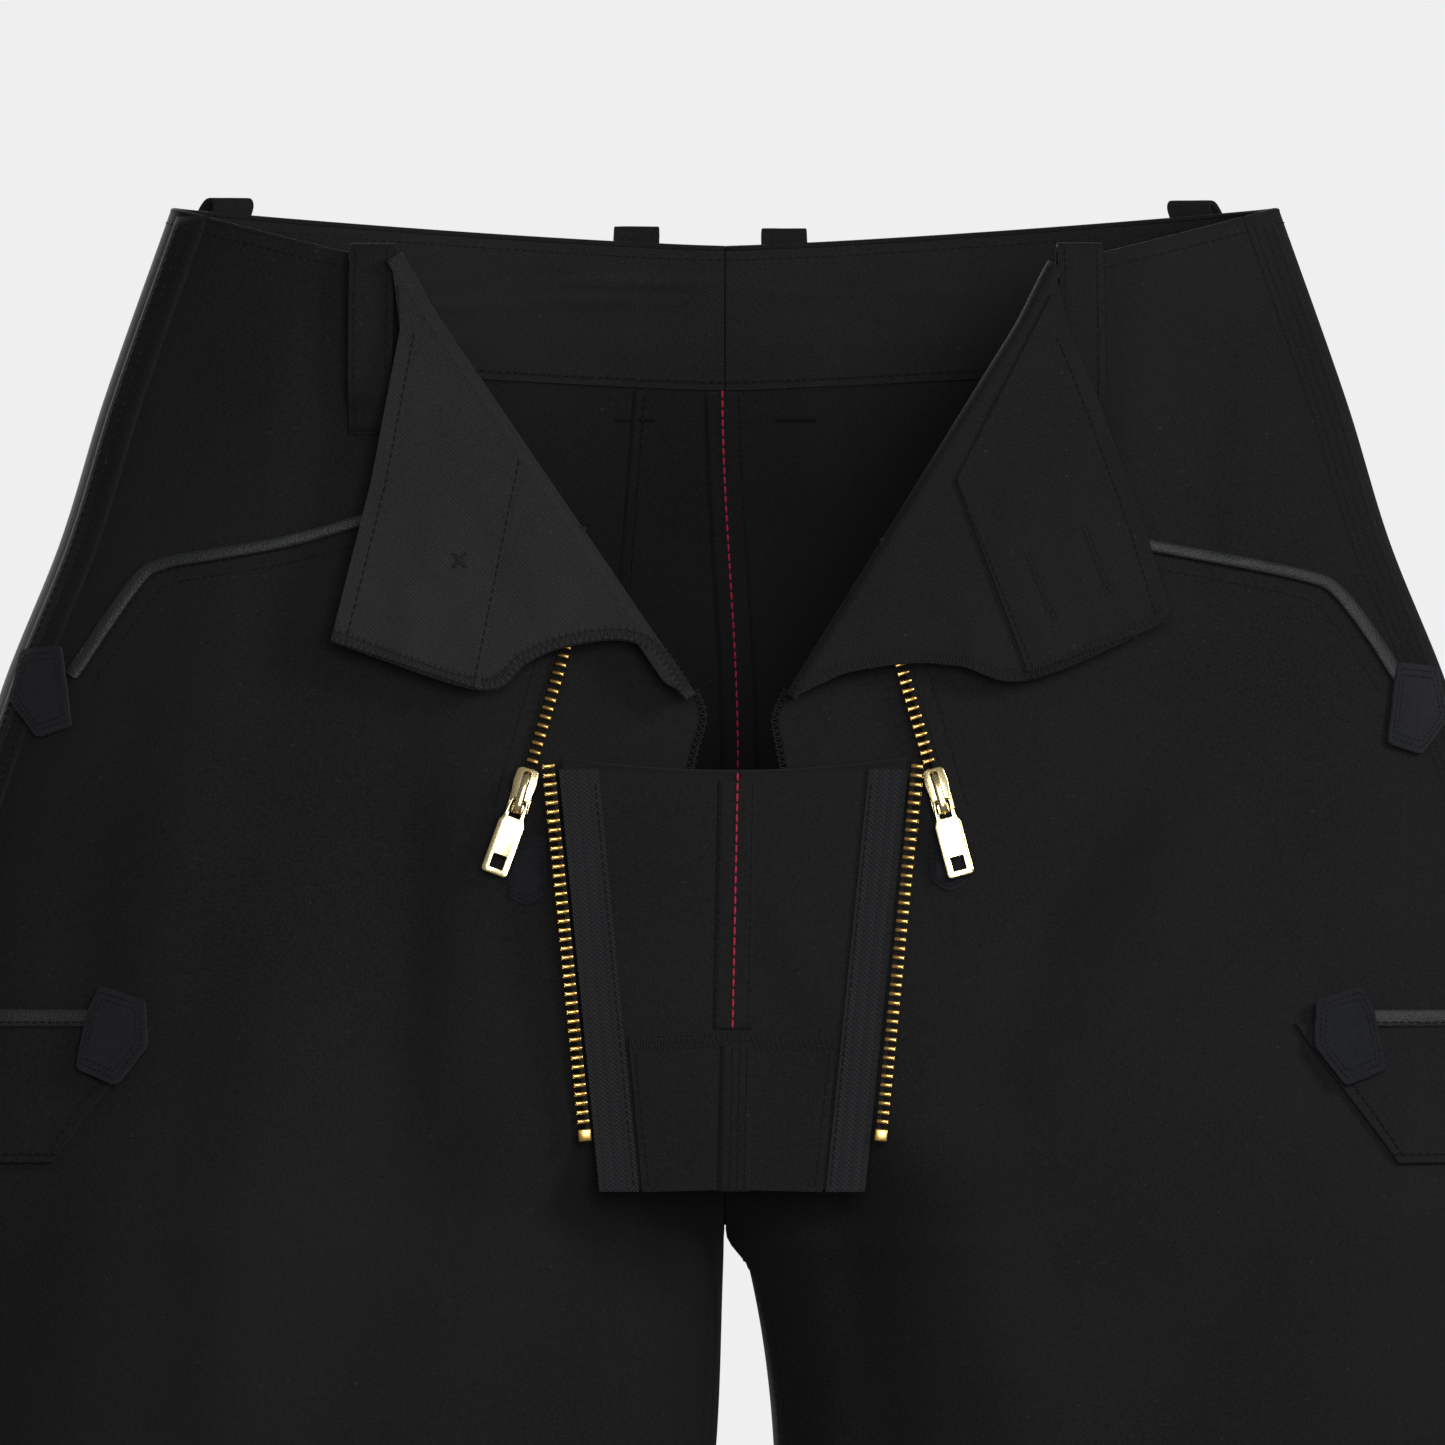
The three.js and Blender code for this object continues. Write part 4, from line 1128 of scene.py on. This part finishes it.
def raisedPlate(bm, height, rim):  # a flat outline made into a plate with softened rims
    made = bmesh.ops.extrude_face_region(bm, geom=bm.faces[:] + bm.edges[:] + bm.verts[:])["geom"]
    high = [g for g in made if isinstance(g, bmesh.types.BMVert)]
    bmesh.ops.translate(bm, vec=(0, 0, height), verts=high)
    bmesh.ops.recalc_face_normals(bm, faces=bm.faces)
    rims = [e for e in bm.edges if len(e.link_faces) == 2 and e.calc_face_angle(0) > 0.9]
    softened(bm, rims, rim, 2)


def standing(root, across, along):  # the matrix that puts a small part on a surface
    out = across.cross(along).normalized()
    return Matrix.Translation(root) @ Matrix((across, along, out)).transposed().to_4x4()


def strip(line, start, end, first, second):  # four corners beside a line
    return [line.at(start, first), line.at(start, second), line.at(end, second), line.at(end, first)]


def toothMesh():  # a tooth lies along X from its root at 0, with its cupped head at the far end
    bm = bmesh.new()
    bmesh.ops.create_cube(bm, size=1.0)
    bmesh.ops.scale(bm, vec=(zipper["tooth"], zipper["toothWide"], zipper["toothHigh"]), verts=bm.verts)
    bmesh.ops.translate(bm, vec=(zipper["tooth"] / 2 - 0.9, 0, 0), verts=bm.verts)
    heads = [f for f in bm.faces if f.normal.x > 0.9]
    made = bmesh.ops.extrude_discrete_faces(bm, faces=heads)["faces"]
    bmesh.ops.translate(bm, vec=(0.5, 0, 0), verts=made[0].verts)
    bmesh.ops.scale(bm, vec=(1, 1.35, 0.8), space=Matrix.Identity(4), verts=made[0].verts)
    softened(bm, bm.edges, 0.28, 1)
    bmesh.ops.recalc_face_normals(bm, faces=bm.faces)
    mesh = bpy.data.meshes.new("tooth")
    bm.to_mesh(mesh)
    bm.free()
    return mesh


tooth = toothMesh()


def chainMesh(line, start, count, toothSide, surface, lift):
    bm = bmesh.new()
    for i in range(count):
        s = start + i * zipper["pitch"]
        root = surface(*line.at(s), lift)
        across = (surface(*line.at(s, toothSide), lift) - root).normalized()
        along = (surface(*line.at(s + 1), lift) - root).normalized()
        first = len(bm.verts)
        bm.from_mesh(tooth)
        bm.verts.ensure_lookup_table()
        bmesh.ops.transform(bm, matrix=standing(root, across, along), verts=bm.verts[first:])
    bmesh.ops.recalc_face_normals(bm, faces=bm.faces)
    return bm


def beadAlong(line, start, end, surface, lift):
    path = [surface(*line.at(mix(start, end, i / 60)), lift) for i in range(61)]
    return cordAlong(path, zipper["bead"], zipper["bead"] * 0.8, 8)


def makeFrontZip(side, half):
    m = half["sign"]
    line = Line(half["zipEnd"], half["zipTop"])
    teeth = int((line.length - 7.6) / zipper["pitch"])
    addPiece(f"{side}_zip_teeth", chainMesh(line, 5.3, teeth, -m, nearZip, 1.9), brass,
             replaces=[f"{side}_front_zip_chain"])
    outline = strip(line, -6, line.length - 4, m * 8, -m * 1.2)
    tape = joined([cutSheet(outline, nearZip, -1.9, 3), beadAlong(line, -4, line.length - 6, nearZip, 0.4)])
    addPiece(f"{side}_zip_tape", tape, zipTape, replaces=[f"{side}_front_zip_tape"], thickness=0.7)
    for gap in (2.2, 7.5):
        row = laid([Vector(line.at(-14, m * gap)), Vector(line.at(line.length - 2, m * gap))], onFront, 0.05)
        seams.extend(stitches(row, 2.9))


def makeUnderlap(side, half):
    m = half["sign"]
    line = Line(half["zipEnd"], half["zipTop"])
    edge = rounded([Vector(p) for p in half["underlapEdge"]], 26)
    start = Vector(half["zipTop"]).lerp(Vector(half["foldEnd"]), 0.1)
    foot = (half["zipEnd"][0] + m * 5, half["underlapEdge"][-1][1])
    outline = [line.at(line.length - 4, m * 6), start, *edge, foot]

    def surface(x, z, lift):
        return nearZip(x, z, lift - 3.6 + 0.5 * noise.noise(Vector((x / 14, 5, z / 18))))

    lap = cutSheet(outline, surface, 0.4, 2.5)
    addPiece(f"{side}_underlay", lap, bodyCloth, replaces=[f"{side}_underlap"], thickness=1.4, rim=0.4)
    return overlock(edge, surface, -3.2 * m, 0.7)


# ---- waist tabs ----
def tabSurface(half):  # the tab lies in a plane off the front, with a little life in it
    m = half["sign"]
    corner = half["tab"][half["tabCorner"]]
    points = []
    for i, (x, z) in enumerate((half["foldTop"], half["foldEnd"], corner)):
        points.append(nearZip(x, z, fold["lift"] if i < 2 else fold["outerLift"]))
    normal = (points[1] - points[0]).cross(points[2] - points[0]).normalized()
    line = foldLine(half)

    def surface(x, z, lift=0.0):
        y = points[0].y - (normal.x * (x - points[0].x) + normal.z * (z - points[0].z)) / normal.y
        away = abs((x - line.start[0]) * line.along[1] - (z - line.start[1]) * line.along[0])
        calm = smooth(away / 30)
        ripple = 1.9 * noise.noise(Vector((x / 26, 3 + m, z / 34)))
        ripple += 0.5 * noise.noise(Vector((x / 9, m, z / 12)))
        ripple += 0.5 * sin((x + z * 0.35) / 4.4) * exp(-((z + 126) / 20) ** 2 - ((x - m * 98) / 22) ** 2)
        ripple += 1.6 * exp(-((x - m * 104 + (z + 110) * 0.3 * m) / 9) ** 2) * smooth((-80 - z) / 50)
        return Vector((x, y - lift - ripple * calm, z))

    return surface


def makeTab(side, half):
    m = half["sign"]
    surface = tabSurface(half)
    line = foldLine(half)
    corner = line.at(line.length - 1, -m * fold["shift"])
    lowerEdge = rounded([Vector(p) for p in half["tab"][half["tabCorner"]:] + [corner]], 44)
    outline = [line.at(0, -m * fold["shift"]), *half["tab"][:half["tabCorner"]], *lowerEdge]
    thick = body["clothThickness"]
    piece = addPiece(f"{side}_tab", cutSheet(outline, surface, thick, 2.4), tabTwill[side], f"{side}_tab",
                     [f"{side}_waist_tab"], thick, 0.5)
    xs, zs = [p[0] for p in outline], [p[1] for p in outline]
    flat = ((max(xs) - min(xs)) * toMetres, (max(zs) - min(zs)) * toMetres)
    outlineArea(outline)
    makeTabFold(side, half, surface)
    makeTabLining(side, half, surface, lowerEdge)
    return surface


def makeTabFold(side, half, surface):  # the cloth turns over from the panel to the tab
    m = half["sign"]
    line = foldLine(half)
    shift = fold["shift"]
    thick = body["clothThickness"]
    toOpening = Vector((m * line.along[1], 0, -m * line.along[0]))

    def rollPoint(u, v):
        s = mix(-4.5, line.length + 1.5, v)
        x, z = line.at(s, -m * shift)
        a, b = onFront(x, z, -thick), surface(x, z, thick)
        if u > fold["rollShare"]:
            reach = (u - fold["rollShare"]) / (1 - fold["rollShare"])
            far = shift + 3 * reach * smooth(s / 8) * smooth((line.length - 1 - s) / 8)
            return surface(*line.at(s, -m * far), thick + mix(0.05, -0.5, smooth(reach)))
        turn = pi * u / fold["rollShare"]
        middle = (a + b) / 2
        bulge = shift + 1.0 + 2.0 * smooth((24 - s) / 30)
        return middle + (a - middle) * cos(turn) + toOpening * (bulge * sin(turn))

    bm = turned(clothGrid(25, 90, rollPoint, (0.019, 0.18)), toOpening)
    roll = addPiece(f"{side}_tab_fold", bm, tabTwill[side], None, (), thick)
    middle = line.at(line.length / 2, -m * shift)
    a, b = onFront(*middle, -thick), surface(*middle, thick)
    a * toMetres
    b * toMetres
    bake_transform(roll)


def keyhole(x, z):  # a slit with a round eye at its lower end
    slit = Line((x - 4.2, z + 11), (x + 4.2, z - 11))
    end = slit.length
    upper = [slit.at(0, 0.25), slit.at(end - 2, 0.3), slit.at(end, 1.1)]
    lower = [slit.at(end, -1.1), slit.at(end - 2, -0.3), slit.at(0, -0.25)]
    return upper + [slit.at(end + 1.4, 0)] + lower


def makeTabLining(side, half, surface, lowerEdge):
    m = half["sign"]
    thick = body["clothThickness"]
    seamLine = half["facingSeam"]
    seamReach = abs(seamLine[1][0])
    outer = [p for p in half["tab"] if abs(p[0]) > seamReach]
    start = foldLine(half).at(5, -m * (fold["shift"] + 1.0))
    facing = [start, *outer, seamLine[1], (seamLine[0][0] + m * 2, seamLine[0][1])]
    holes = [keyhole(x, z) for x, z in half["buttonholes"]]
    edging = []
    for hole in holes:
        rim = spaced([Vector(p) for p in hole + hole[:1]], 64)
        for reach in (1.5, -1.5):
            purl = [surface(*p, thick + 1.7) for p in beside(rim, reach)]
            edging.append(threads(list(zip([surface(*p, thick + 1.7) for p in rim], purl))[:64], 0.24))
    addPiece(f"{side}_tab_lining", cutSheet(facing, surface, thick + 1.5, 2.2, holes), tabTwill[side],
             f"{side}_tab", [f"{side}_tab_facing"], 1.3, 0.4)

    top = thick + 1.6
    edge = [Vector(p) for p in half["tab"][:half["tabCorner"] + 1]]
    rows = stitches(laid(beside(edge, -m * 5.2), surface, top))
    rows += stitches(laid(beside([Vector(p) for p in seamLine], m * 2.2), surface, top))
    addPiece(f"{side}_tab_stitching", joined(rows), blackThreadSeamShade, f"{side}_tab")

    def coveredEdge(x, z, lift):  # the thread climbs onto the lining at its seam
        return surface(x, z, lift + 1.5 * smooth((abs(x) - seamReach) / 3 + 0.5))

    edging += overlock(lowerEdge, coveredEdge, -4.6 * m, thick + 0.15)
    addPiece(f"{side}_tab_overlock", joined(edging), edgeThread, f"{side}_tab")


button = {
    "thickness": 3.0, "places": [(-93, -111), (-113.5, -102)],
    "profile": [(0.01, -1.1), (3.2, -1.1), (4.6, -0.6), (6.2, -0.9), (7.6, -0.9), (8.4, -0.2), (8.5, 0.5),
                (7.9, 1.3), (6.0, 1.5), (3.0, 1.1), (0.01, 1.0)],  # radius and height
}


def makeButton(name, place, surface, showing):
    bm = bmesh.new()
    verts = [bm.verts.new((r, 0, h)) for r, h in button["profile"]]
    edges = [bm.edges.new(pair) for pair in zip(verts, verts[1:])]
    bmesh.ops.spin(bm, geom=verts + edges, cent=(0, 0, 0), axis=(0, 0, 1), angle=2 * pi, steps=40,
                   use_merge=True)
    bmesh.ops.remove_doubles(bm, verts=bm.verts, dist=0.02)
    bmesh.ops.recalc_face_normals(bm, faces=bm.faces)
    centre = surface(*place, -1.0 - button["thickness"] / 2)
    turn = Matrix.Rotation(pi / 2, 4, "X")
    bmesh.ops.transform(bm, matrix=Matrix.Translation(centre) @ turn, verts=bm.verts)
    addPiece(name, bm, buttonHorn, "right_tab", [name.replace("tab_button", "waist_button")])
    crosses = []
    for u, v in ((1, 1), (1, -1)):
        for k in (-0.5, 0.0, 0.5):
            a = surface(place[0] + (2.4 * u) + k, place[1] + 2.6 * v, 3.7)
            b = surface(place[0] - (2.4 * u) + k, place[1] - 2.6 * v, 3.7)
            if showing:
                crosses.append((a, b))
            crosses.append((a + Vector((0, 8.2, 0)), b + Vector((0, 8.2, 0))))
    return threads(crosses, 0.27)


def makeTabZip(side, half, surface):  # the hidden upper end of the front zip, behind the tab
    m = half["sign"]
    line = foldLine(half)
    reach = Line(half["foldTop"], half["zipTop"]).length
    upper = Line(line.at(reach, -m * 4), half["upperZipEnd"])
    teeth = int(upper.length / zipper["pitch"])
    chain = chainMesh(upper, 1.0, teeth, m, surface, -1.7)
    addPiece(f"{side}_tab_zip_teeth", chain, brass, f"{side}_tab", [f"{side}_tab_zip_chain"])
    tape = cutSheet(strip(upper, 0, upper.length, -m * 9, m), surface, -0.3, 3)
    addPiece(f"{side}_tab_zip_tape", tape, zipTape, f"{side}_tab", (), 0.7)


for side, half in halves.items():
    makeFrontZip(side, half)
    lapEdge = makeUnderlap(side, half)
    addPiece(f"{side}_underlay_overlock", joined(lapEdge), edgeThread)
for side, half in halves.items():
    surface = makeTab(side, half)
    makeTabZip(side, half, surface)
    if side == "right":
        marks = []
        for i, place in enumerate(button["places"]):
            marks.append(makeButton(f"tab_button_{i + 1}", place, surface, i == 0))
        addPiece("tab_button_threads", joined(marks), edgeThread, "right_tab")
print("tabs and zips made")

# ---- fall flap ----
flap = {
    "foldZ": -181.0, "length": 151.0, "lift": 11.0, "lean": 0.035, "seamTop": 4.5, "seamEnd": 1.4,
    "bandDepth": 55.0, "tapeWide": 15.0, "startZ": -187.0, "tapeLift": 2.2,
}
flapRootY = nearZip(1, flap["foldZ"]).y - flap["lift"]


def onFlap(x, z, lift=0.0):
    down = flap["foldZ"] - z
    swell = 1.5 * smooth(down / 50) * noise.noise(Vector((x / 34, 8, z / 60)))
    swell += 2.0 * smooth((down - 100) / 40) * sin((x + 8) / 17)
    crease = 1.4 * exp(-((x - 26 + (z + 250) * 0.35) / 9) ** 2)
    swell += crease * smooth((down - 20) / 40) * smooth((110 - down) / 30)
    swell *= smooth((64 - abs(x)) / 22)
    return Vector((x, flapRootY - down * flap["lean"] - lift - swell, z))


def flapZ(down):
    return flap["foldZ"] - down


def flapEdge(half, down):
    return mix(half["flapTop"], half["flapEnd"], down / flap["length"])


def flapSeamX(down):
    return mix(flap["seamTop"], flap["seamEnd"], down / flap["length"])


def flapFoldTop(x):
    return flap["foldZ"] + 0.8 - 4.2 * max(1 - ((x - 3) / 58) ** 2, 0)


def makeFlap(side, half):
    m = half["sign"]
    thick = body["clothThickness"]
    start = flap["foldZ"] - flap["startZ"]
    end = flap["length"]
    outline = [(flapSeamX(start), flapZ(start)), (flapEdge(half, start), flapZ(start)),
               (flapEdge(half, end), flapZ(end))]
    for i in range(1, 13):
        x = mix(flapEdge(half, end), flapSeamX(end), i / 12)
        outline.append((x, flapZ(end - 1.3 * sin(pi * i / 12) + 1.1 * noise.noise(Vector((x / 7, 2, 5))))))
    piece = addPiece(f"{side}_flap", cutSheet(outline, onFlap, thick, 2.2), bodyCloth, "fall_flap",
                     [f"{side}_fall_flap"], thick, 0.4)
    wide = abs(flapEdge(half, start) - flapSeamX(end))
    wide * toMetres
    outlineArea(outline)

    def inner(d):  # the tape's inner edge
        return flapEdge(half, d) - m * (flap["tapeWide"] - 1)

    bandTop = end - flap["bandDepth"]
    bandEdge = [(flapSeamX(bandTop), flapZ(bandTop)), (inner(bandTop) - m * 1.5, flapZ(bandTop + 1))]
    band = bandEdge + [(inner(end) - m * 1.0, flapZ(end)), (flapSeamX(end), flapZ(end - 0.8))]
    addPiece(f"{side}_flap_facing", cutSheet(band, onFlap, thick + 1.7, 2.2), bodyCloth, "fall_flap",
             [f"{side}_flap_band"], 1.5, 0.4)
    makeFlapZip(side, half, inner)
    makeFlapFold(side, half)
    rows = [
        ((inner(8) + m * 1.6, 8), (inner(end - 2) + m * 1.6, end - 2), thick + flap["tapeLift"] - 0.9),
        ((inner(bandTop) - m * 4, bandTop + 6), (inner(end) - m * 3.4, end - 2), thick + 1.8),
        ((flapSeamX(10) + m * 5.5, 8), (flapSeamX(bandTop) + m * 5.5, bandTop - 2), thick + 0.6),
    ]
    for high, low, lift in rows:
        row = [Vector((x, flapZ(down))) for x, down in (high, low)]
        flapSeams.extend(stitches(laid(row, onFlap, lift)))
    return overlock([Vector(p) for p in bandEdge], onFlap, -4.6 * m, thick + 1.95, 2.0)


def makeFlapZip(side, half, inner):
    m = half["sign"]
    end = flap["length"]
    top = body["clothThickness"] + flap["tapeLift"]

    def tapePoint(u, v):
        d = mix(end, 3, v)
        return onFlap(mix(inner(d), flapEdge(half, d), u), flapZ(d), top - 1.0)

    tape = turned(clothGrid(10, 90, tapePoint, (0.015, 0.148)), (0, -1, 0))
    edgeLine = Line((half["chainTop"], flapZ(zipper["flapStart"])),
                    (half["chainEnd"], flapZ(8 + 38 * zipper["pitch"])))
    bead = beadAlong(edgeLine, 0, edgeLine.length + 3, onFlap, top - 0.2)
    addPiece(f"{side}_flap_tape", tape, zipTape, "fall_flap", [f"{side}_flap_zip_tape"], 0.8, 0.2)
    addPiece(f"{side}_flap_bead", bead, zipTape, "fall_flap")
    chain = chainMesh(edgeLine, 0.4, zipper["flapTeeth"], -m, onFlap, top + 0.3)
    addPiece(f"{side}_flap_teeth", chain, brass, "fall_flap", [f"{side}_flap_zip_chain"])

    stopAt = zipper["flapTeeth"] * zipper["pitch"] + 2.0
    stop = block((zipper["stopWide"], zipper["stopLong"], 2.8), 0.5, 2)
    root = onFlap(*edgeLine.at(stopAt, -m * 1.2), top + 0.4)
    along = (onFlap(*edgeLine.at(stopAt + 1, -m * 1.2), top + 0.4) - root).normalized()
    across = Vector((0, 1, 0)).cross(along).normalized()
    bmesh.ops.transform(stop, matrix=standing(root, across, along), verts=stop.verts)
    addPiece(f"{side}_flap_stop", stop, brass, "fall_flap", [f"{side}_flap_zip_stop"])


def makeFlapFold(side, half):  # the cloth comes up from the front panels and turns over
    m = half["sign"]
    thick = body["clothThickness"]
    startZ = flap["startZ"]

    def rollPoint(u, v):
        x = mix(flapSeamX(0), half["flapTop"] - m * 1.0, v)
        a, b = nearZip(x, startZ, -thick), onFlap(x, startZ, thick)
        if u > fold["rollShare"]:
            reach = (u - fold["rollShare"]) / (1 - fold["rollShare"])
            return onFlap(x, startZ - reach * 5, thick + mix(0.06, -0.7, smooth(reach)))
        turn = pi * u / fold["rollShare"]
        rise = Vector((0, 0, (flapFoldTop(x) - startZ) * sin(turn)))
        return (a + b) / 2 + (a - b) / 2 * cos(turn) + rise

    bm = turned(clothGrid(25, 40, rollPoint, (0.025, 0.06)), (0, 0, 1))
    roll = addPiece(f"{side}_flap_fold", bm, bodyCloth, None, (), thick)
    a, b = nearZip(3, startZ, -thick), onFlap(3, startZ, thick)
    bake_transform(roll)


def makeFlapSeam(name, rows, downs, sides, lift, proud, edge, size, thickness):
    def place(u, v):
        down = mix(*downs, v)
        rise = proud * smooth(min(u, 1 - u) / edge)
        return onFlap(flapSeamX(down) + mix(*sides, u), flapZ(down), body["clothThickness"] + lift + rise)

    bm = turned(clothGrid(14, rows, place, size), (0, -1, 0))
    addPiece(name, bm, bodyCloth, "fall_flap", thickness=thickness)


def flapRow(offset, downs, lift):  # a line of points down the flap's middle
    return [onFlap(flapSeamX(d) + offset, flapZ(d), body["clothThickness"] + lift) for d in downs]


flapSeams = []
flapOverlock = []
for side, half in halves.items():
    flapOverlock += makeFlap(side, half)
bandTop = flap["length"] - flap["bandDepth"]
makeFlapSeam("flap_centre_seam", 50, (bandTop - 2, 7), (-7.0, 7.0), 0.05, 0.6, 0.12, (0.014, 0.09), 0.6)
makeFlapSeam("flap_facing_seam", 30, (flap["length"] - 0.2, bandTop + 2.5), (-4.2, 7.2), 1.75, 0.9, 0.1,
             (0.0114, 0.05), 0.8)
for offset in (-2.6, 0.2, 2.8, 5.4):
    flapSeams += stitches(flapRow(offset, range(100, 151, 2), 2.7), 2.7)
addPiece("flap_stitching", joined(flapSeams), blackThreadSeamShade, "fall_flap")
addPiece("flap_overlock", joined(flapOverlock), edgeThread, "fall_flap")
red = flapRow(0, range(4, 96, 2), 0.85)
addPiece("red_flap_stitching", joined(stitches(red, 3.5, 2.7, 0.5)), redThread, "fall_flap")
print("flap made")

# ---- sliders and pulls ----
slider = {
    "wide": 8.6, "foot": -14.0, "top": 2.5, "channel": 6.1, "flange": 0.9, "bridgeWide": 2.9,
    "plate": (3.7, 5.1),  # its height off the cloth, under and over
    "bridge": [(0.8, 4.4), (0.7, 6.8), (2.0, 8.5), (4.6, 9.0), (10.6, 8.8), (14.0, 7.4), (14.9, 4.6)],
}
pull = {
    "long": 28.0, "wide": 9.6, "thickness": 1.3, "height": 6.5, "pivot": 4.5,
    "columns": (-1.0, -0.62, -0.45, 0.45, 0.62, 1.0),  # shares of a row's half width
    "holeHalf": {1: 2.1, 2: 2.1, 4: 2.35, 5: 2.35},  # the rows beside the eye and the square hole
}


def placed(bm, place):
    for vert in bm.verts:
        vert.co = place(vert.co)
    bmesh.ops.recalc_face_normals(bm, faces=bm.faces)
    return bm


def makeSlider(side, half):
    m = half["sign"]
    line = Line(half["zipEnd"], half["zipTop"])
    shift = m * zipper["middle"]
    w = slider["wide"] / 2
    foot, top = slider["foot"], slider["top"]
    flank = [(w * 0.72, foot), (w * 0.85, foot + 6), (w, foot + 11), (w * 0.9, top)]
    outline = [(-x, s) for x, s in flank] + flank[::-1]
    plate = bmesh.new()
    low, high = slider["plate"]
    face = plate.faces.new([plate.verts.new((x, s, low)) for x, s in outline])
    corners = [v for v in face.verts if abs(v.co.y - top) < 0.1 or abs(v.co.y - foot) < 0.1]
    softened(plate, corners, 1.6, 3, "VERTICES")
    raisedPlate(plate, high - low, 0.4)
    parts = [plate]
    for edge in (-1, 1):
        flange = block((slider["flange"], top - foot - 1.4, 2.7), 0.3, 2)
        across = edge * (slider["channel"] / 2 + slider["flange"] / 2)
        bmesh.ops.translate(flange, vec=(across, (top + foot) / 2, 2.5), verts=flange.verts)
        parts.append(flange)
    path = [Vector((0, foot + s, h)) for s, h in rounded(slider["bridge"], 36)]
    parts.append(cordAlong(path, slider["bridgeWide"], 1.5, 12, up=Vector((0.001, 0.3, 1))))
    bm = placed(joined(parts), lambda co: nearZip(*line.at(co.y, co.x + shift), co.z))
    addPiece(f"{side}_slider_body", bm, paleBrass, f"{side}_slider", [f"{side}_zip_slider"])


def makePull(side, half):
    m = half["sign"]
    line = Line(half["zipEnd"], half["zipTop"])
    pivot = line.at(slider["foot"] + pull["pivot"], m * zipper["middle"])
    tilt = radians(half["pullTilt"])
    hang = Line(pivot, (pivot[0] + sin(tilt), pivot[1] - cos(tilt)))
    h = pull["wide"] / 2
    tip = pull["long"] - 1
    rows = [(-0.9, 3.0), (1.0, 3.3), (6.0, 3.7), (8.4, h), (tip - 7.0, h), (tip - 2.2, h), (tip, h)]
    bm = bmesh.new()
    bmesh.ops.create_grid(bm, x_segments=5, y_segments=6, size=0.5)
    for vert in bm.verts:
        i, k = round((vert.co.x + 0.5) * 5), round((vert.co.y + 0.5) * 6)
        s, reach = rows[k]
        x = pull["columns"][i] * reach
        if i in (2, 3) and k in pull["holeHalf"]:
            x = pull["holeHalf"][k] * (1 if i == 3 else -1)
        vert.co = Vector((x, s, 0))
    holes = []
    for face in bm.faces:
        c = face.calc_center_median()
        if abs(c.x) < 1.2 and (1.0 < c.y < 6.0 or tip - 7.0 < c.y < tip - 2.2):
            holes.append(face)
    bmesh.ops.delete(bm, geom=holes, context="FACES")
    ends = [v for v in bm.verts if len(v.link_edges) == 2 and (v.co.y > tip - 0.1 or v.co.y < -0.8)]
    softened(bm, ends, 1.3, 4, "VERTICES")
    raisedPlate(bm, pull["thickness"], 0.32)
    base = pull["height"] - pull["thickness"] / 2
    placed(bm, lambda co: nearZip(*hang.at(co.y, co.x), base + co.z))
    addPiece(f"{side}_pull_tab", bm, paleBrass, f"{side}_pull", [f"{side}_zip_pull"])


for side, half in halves.items():
    makeSlider(side, half)
    makePull(side, half)
addPiece("body_stitching", joined(seams), blackThreadSeamShade)
print("hardware made")
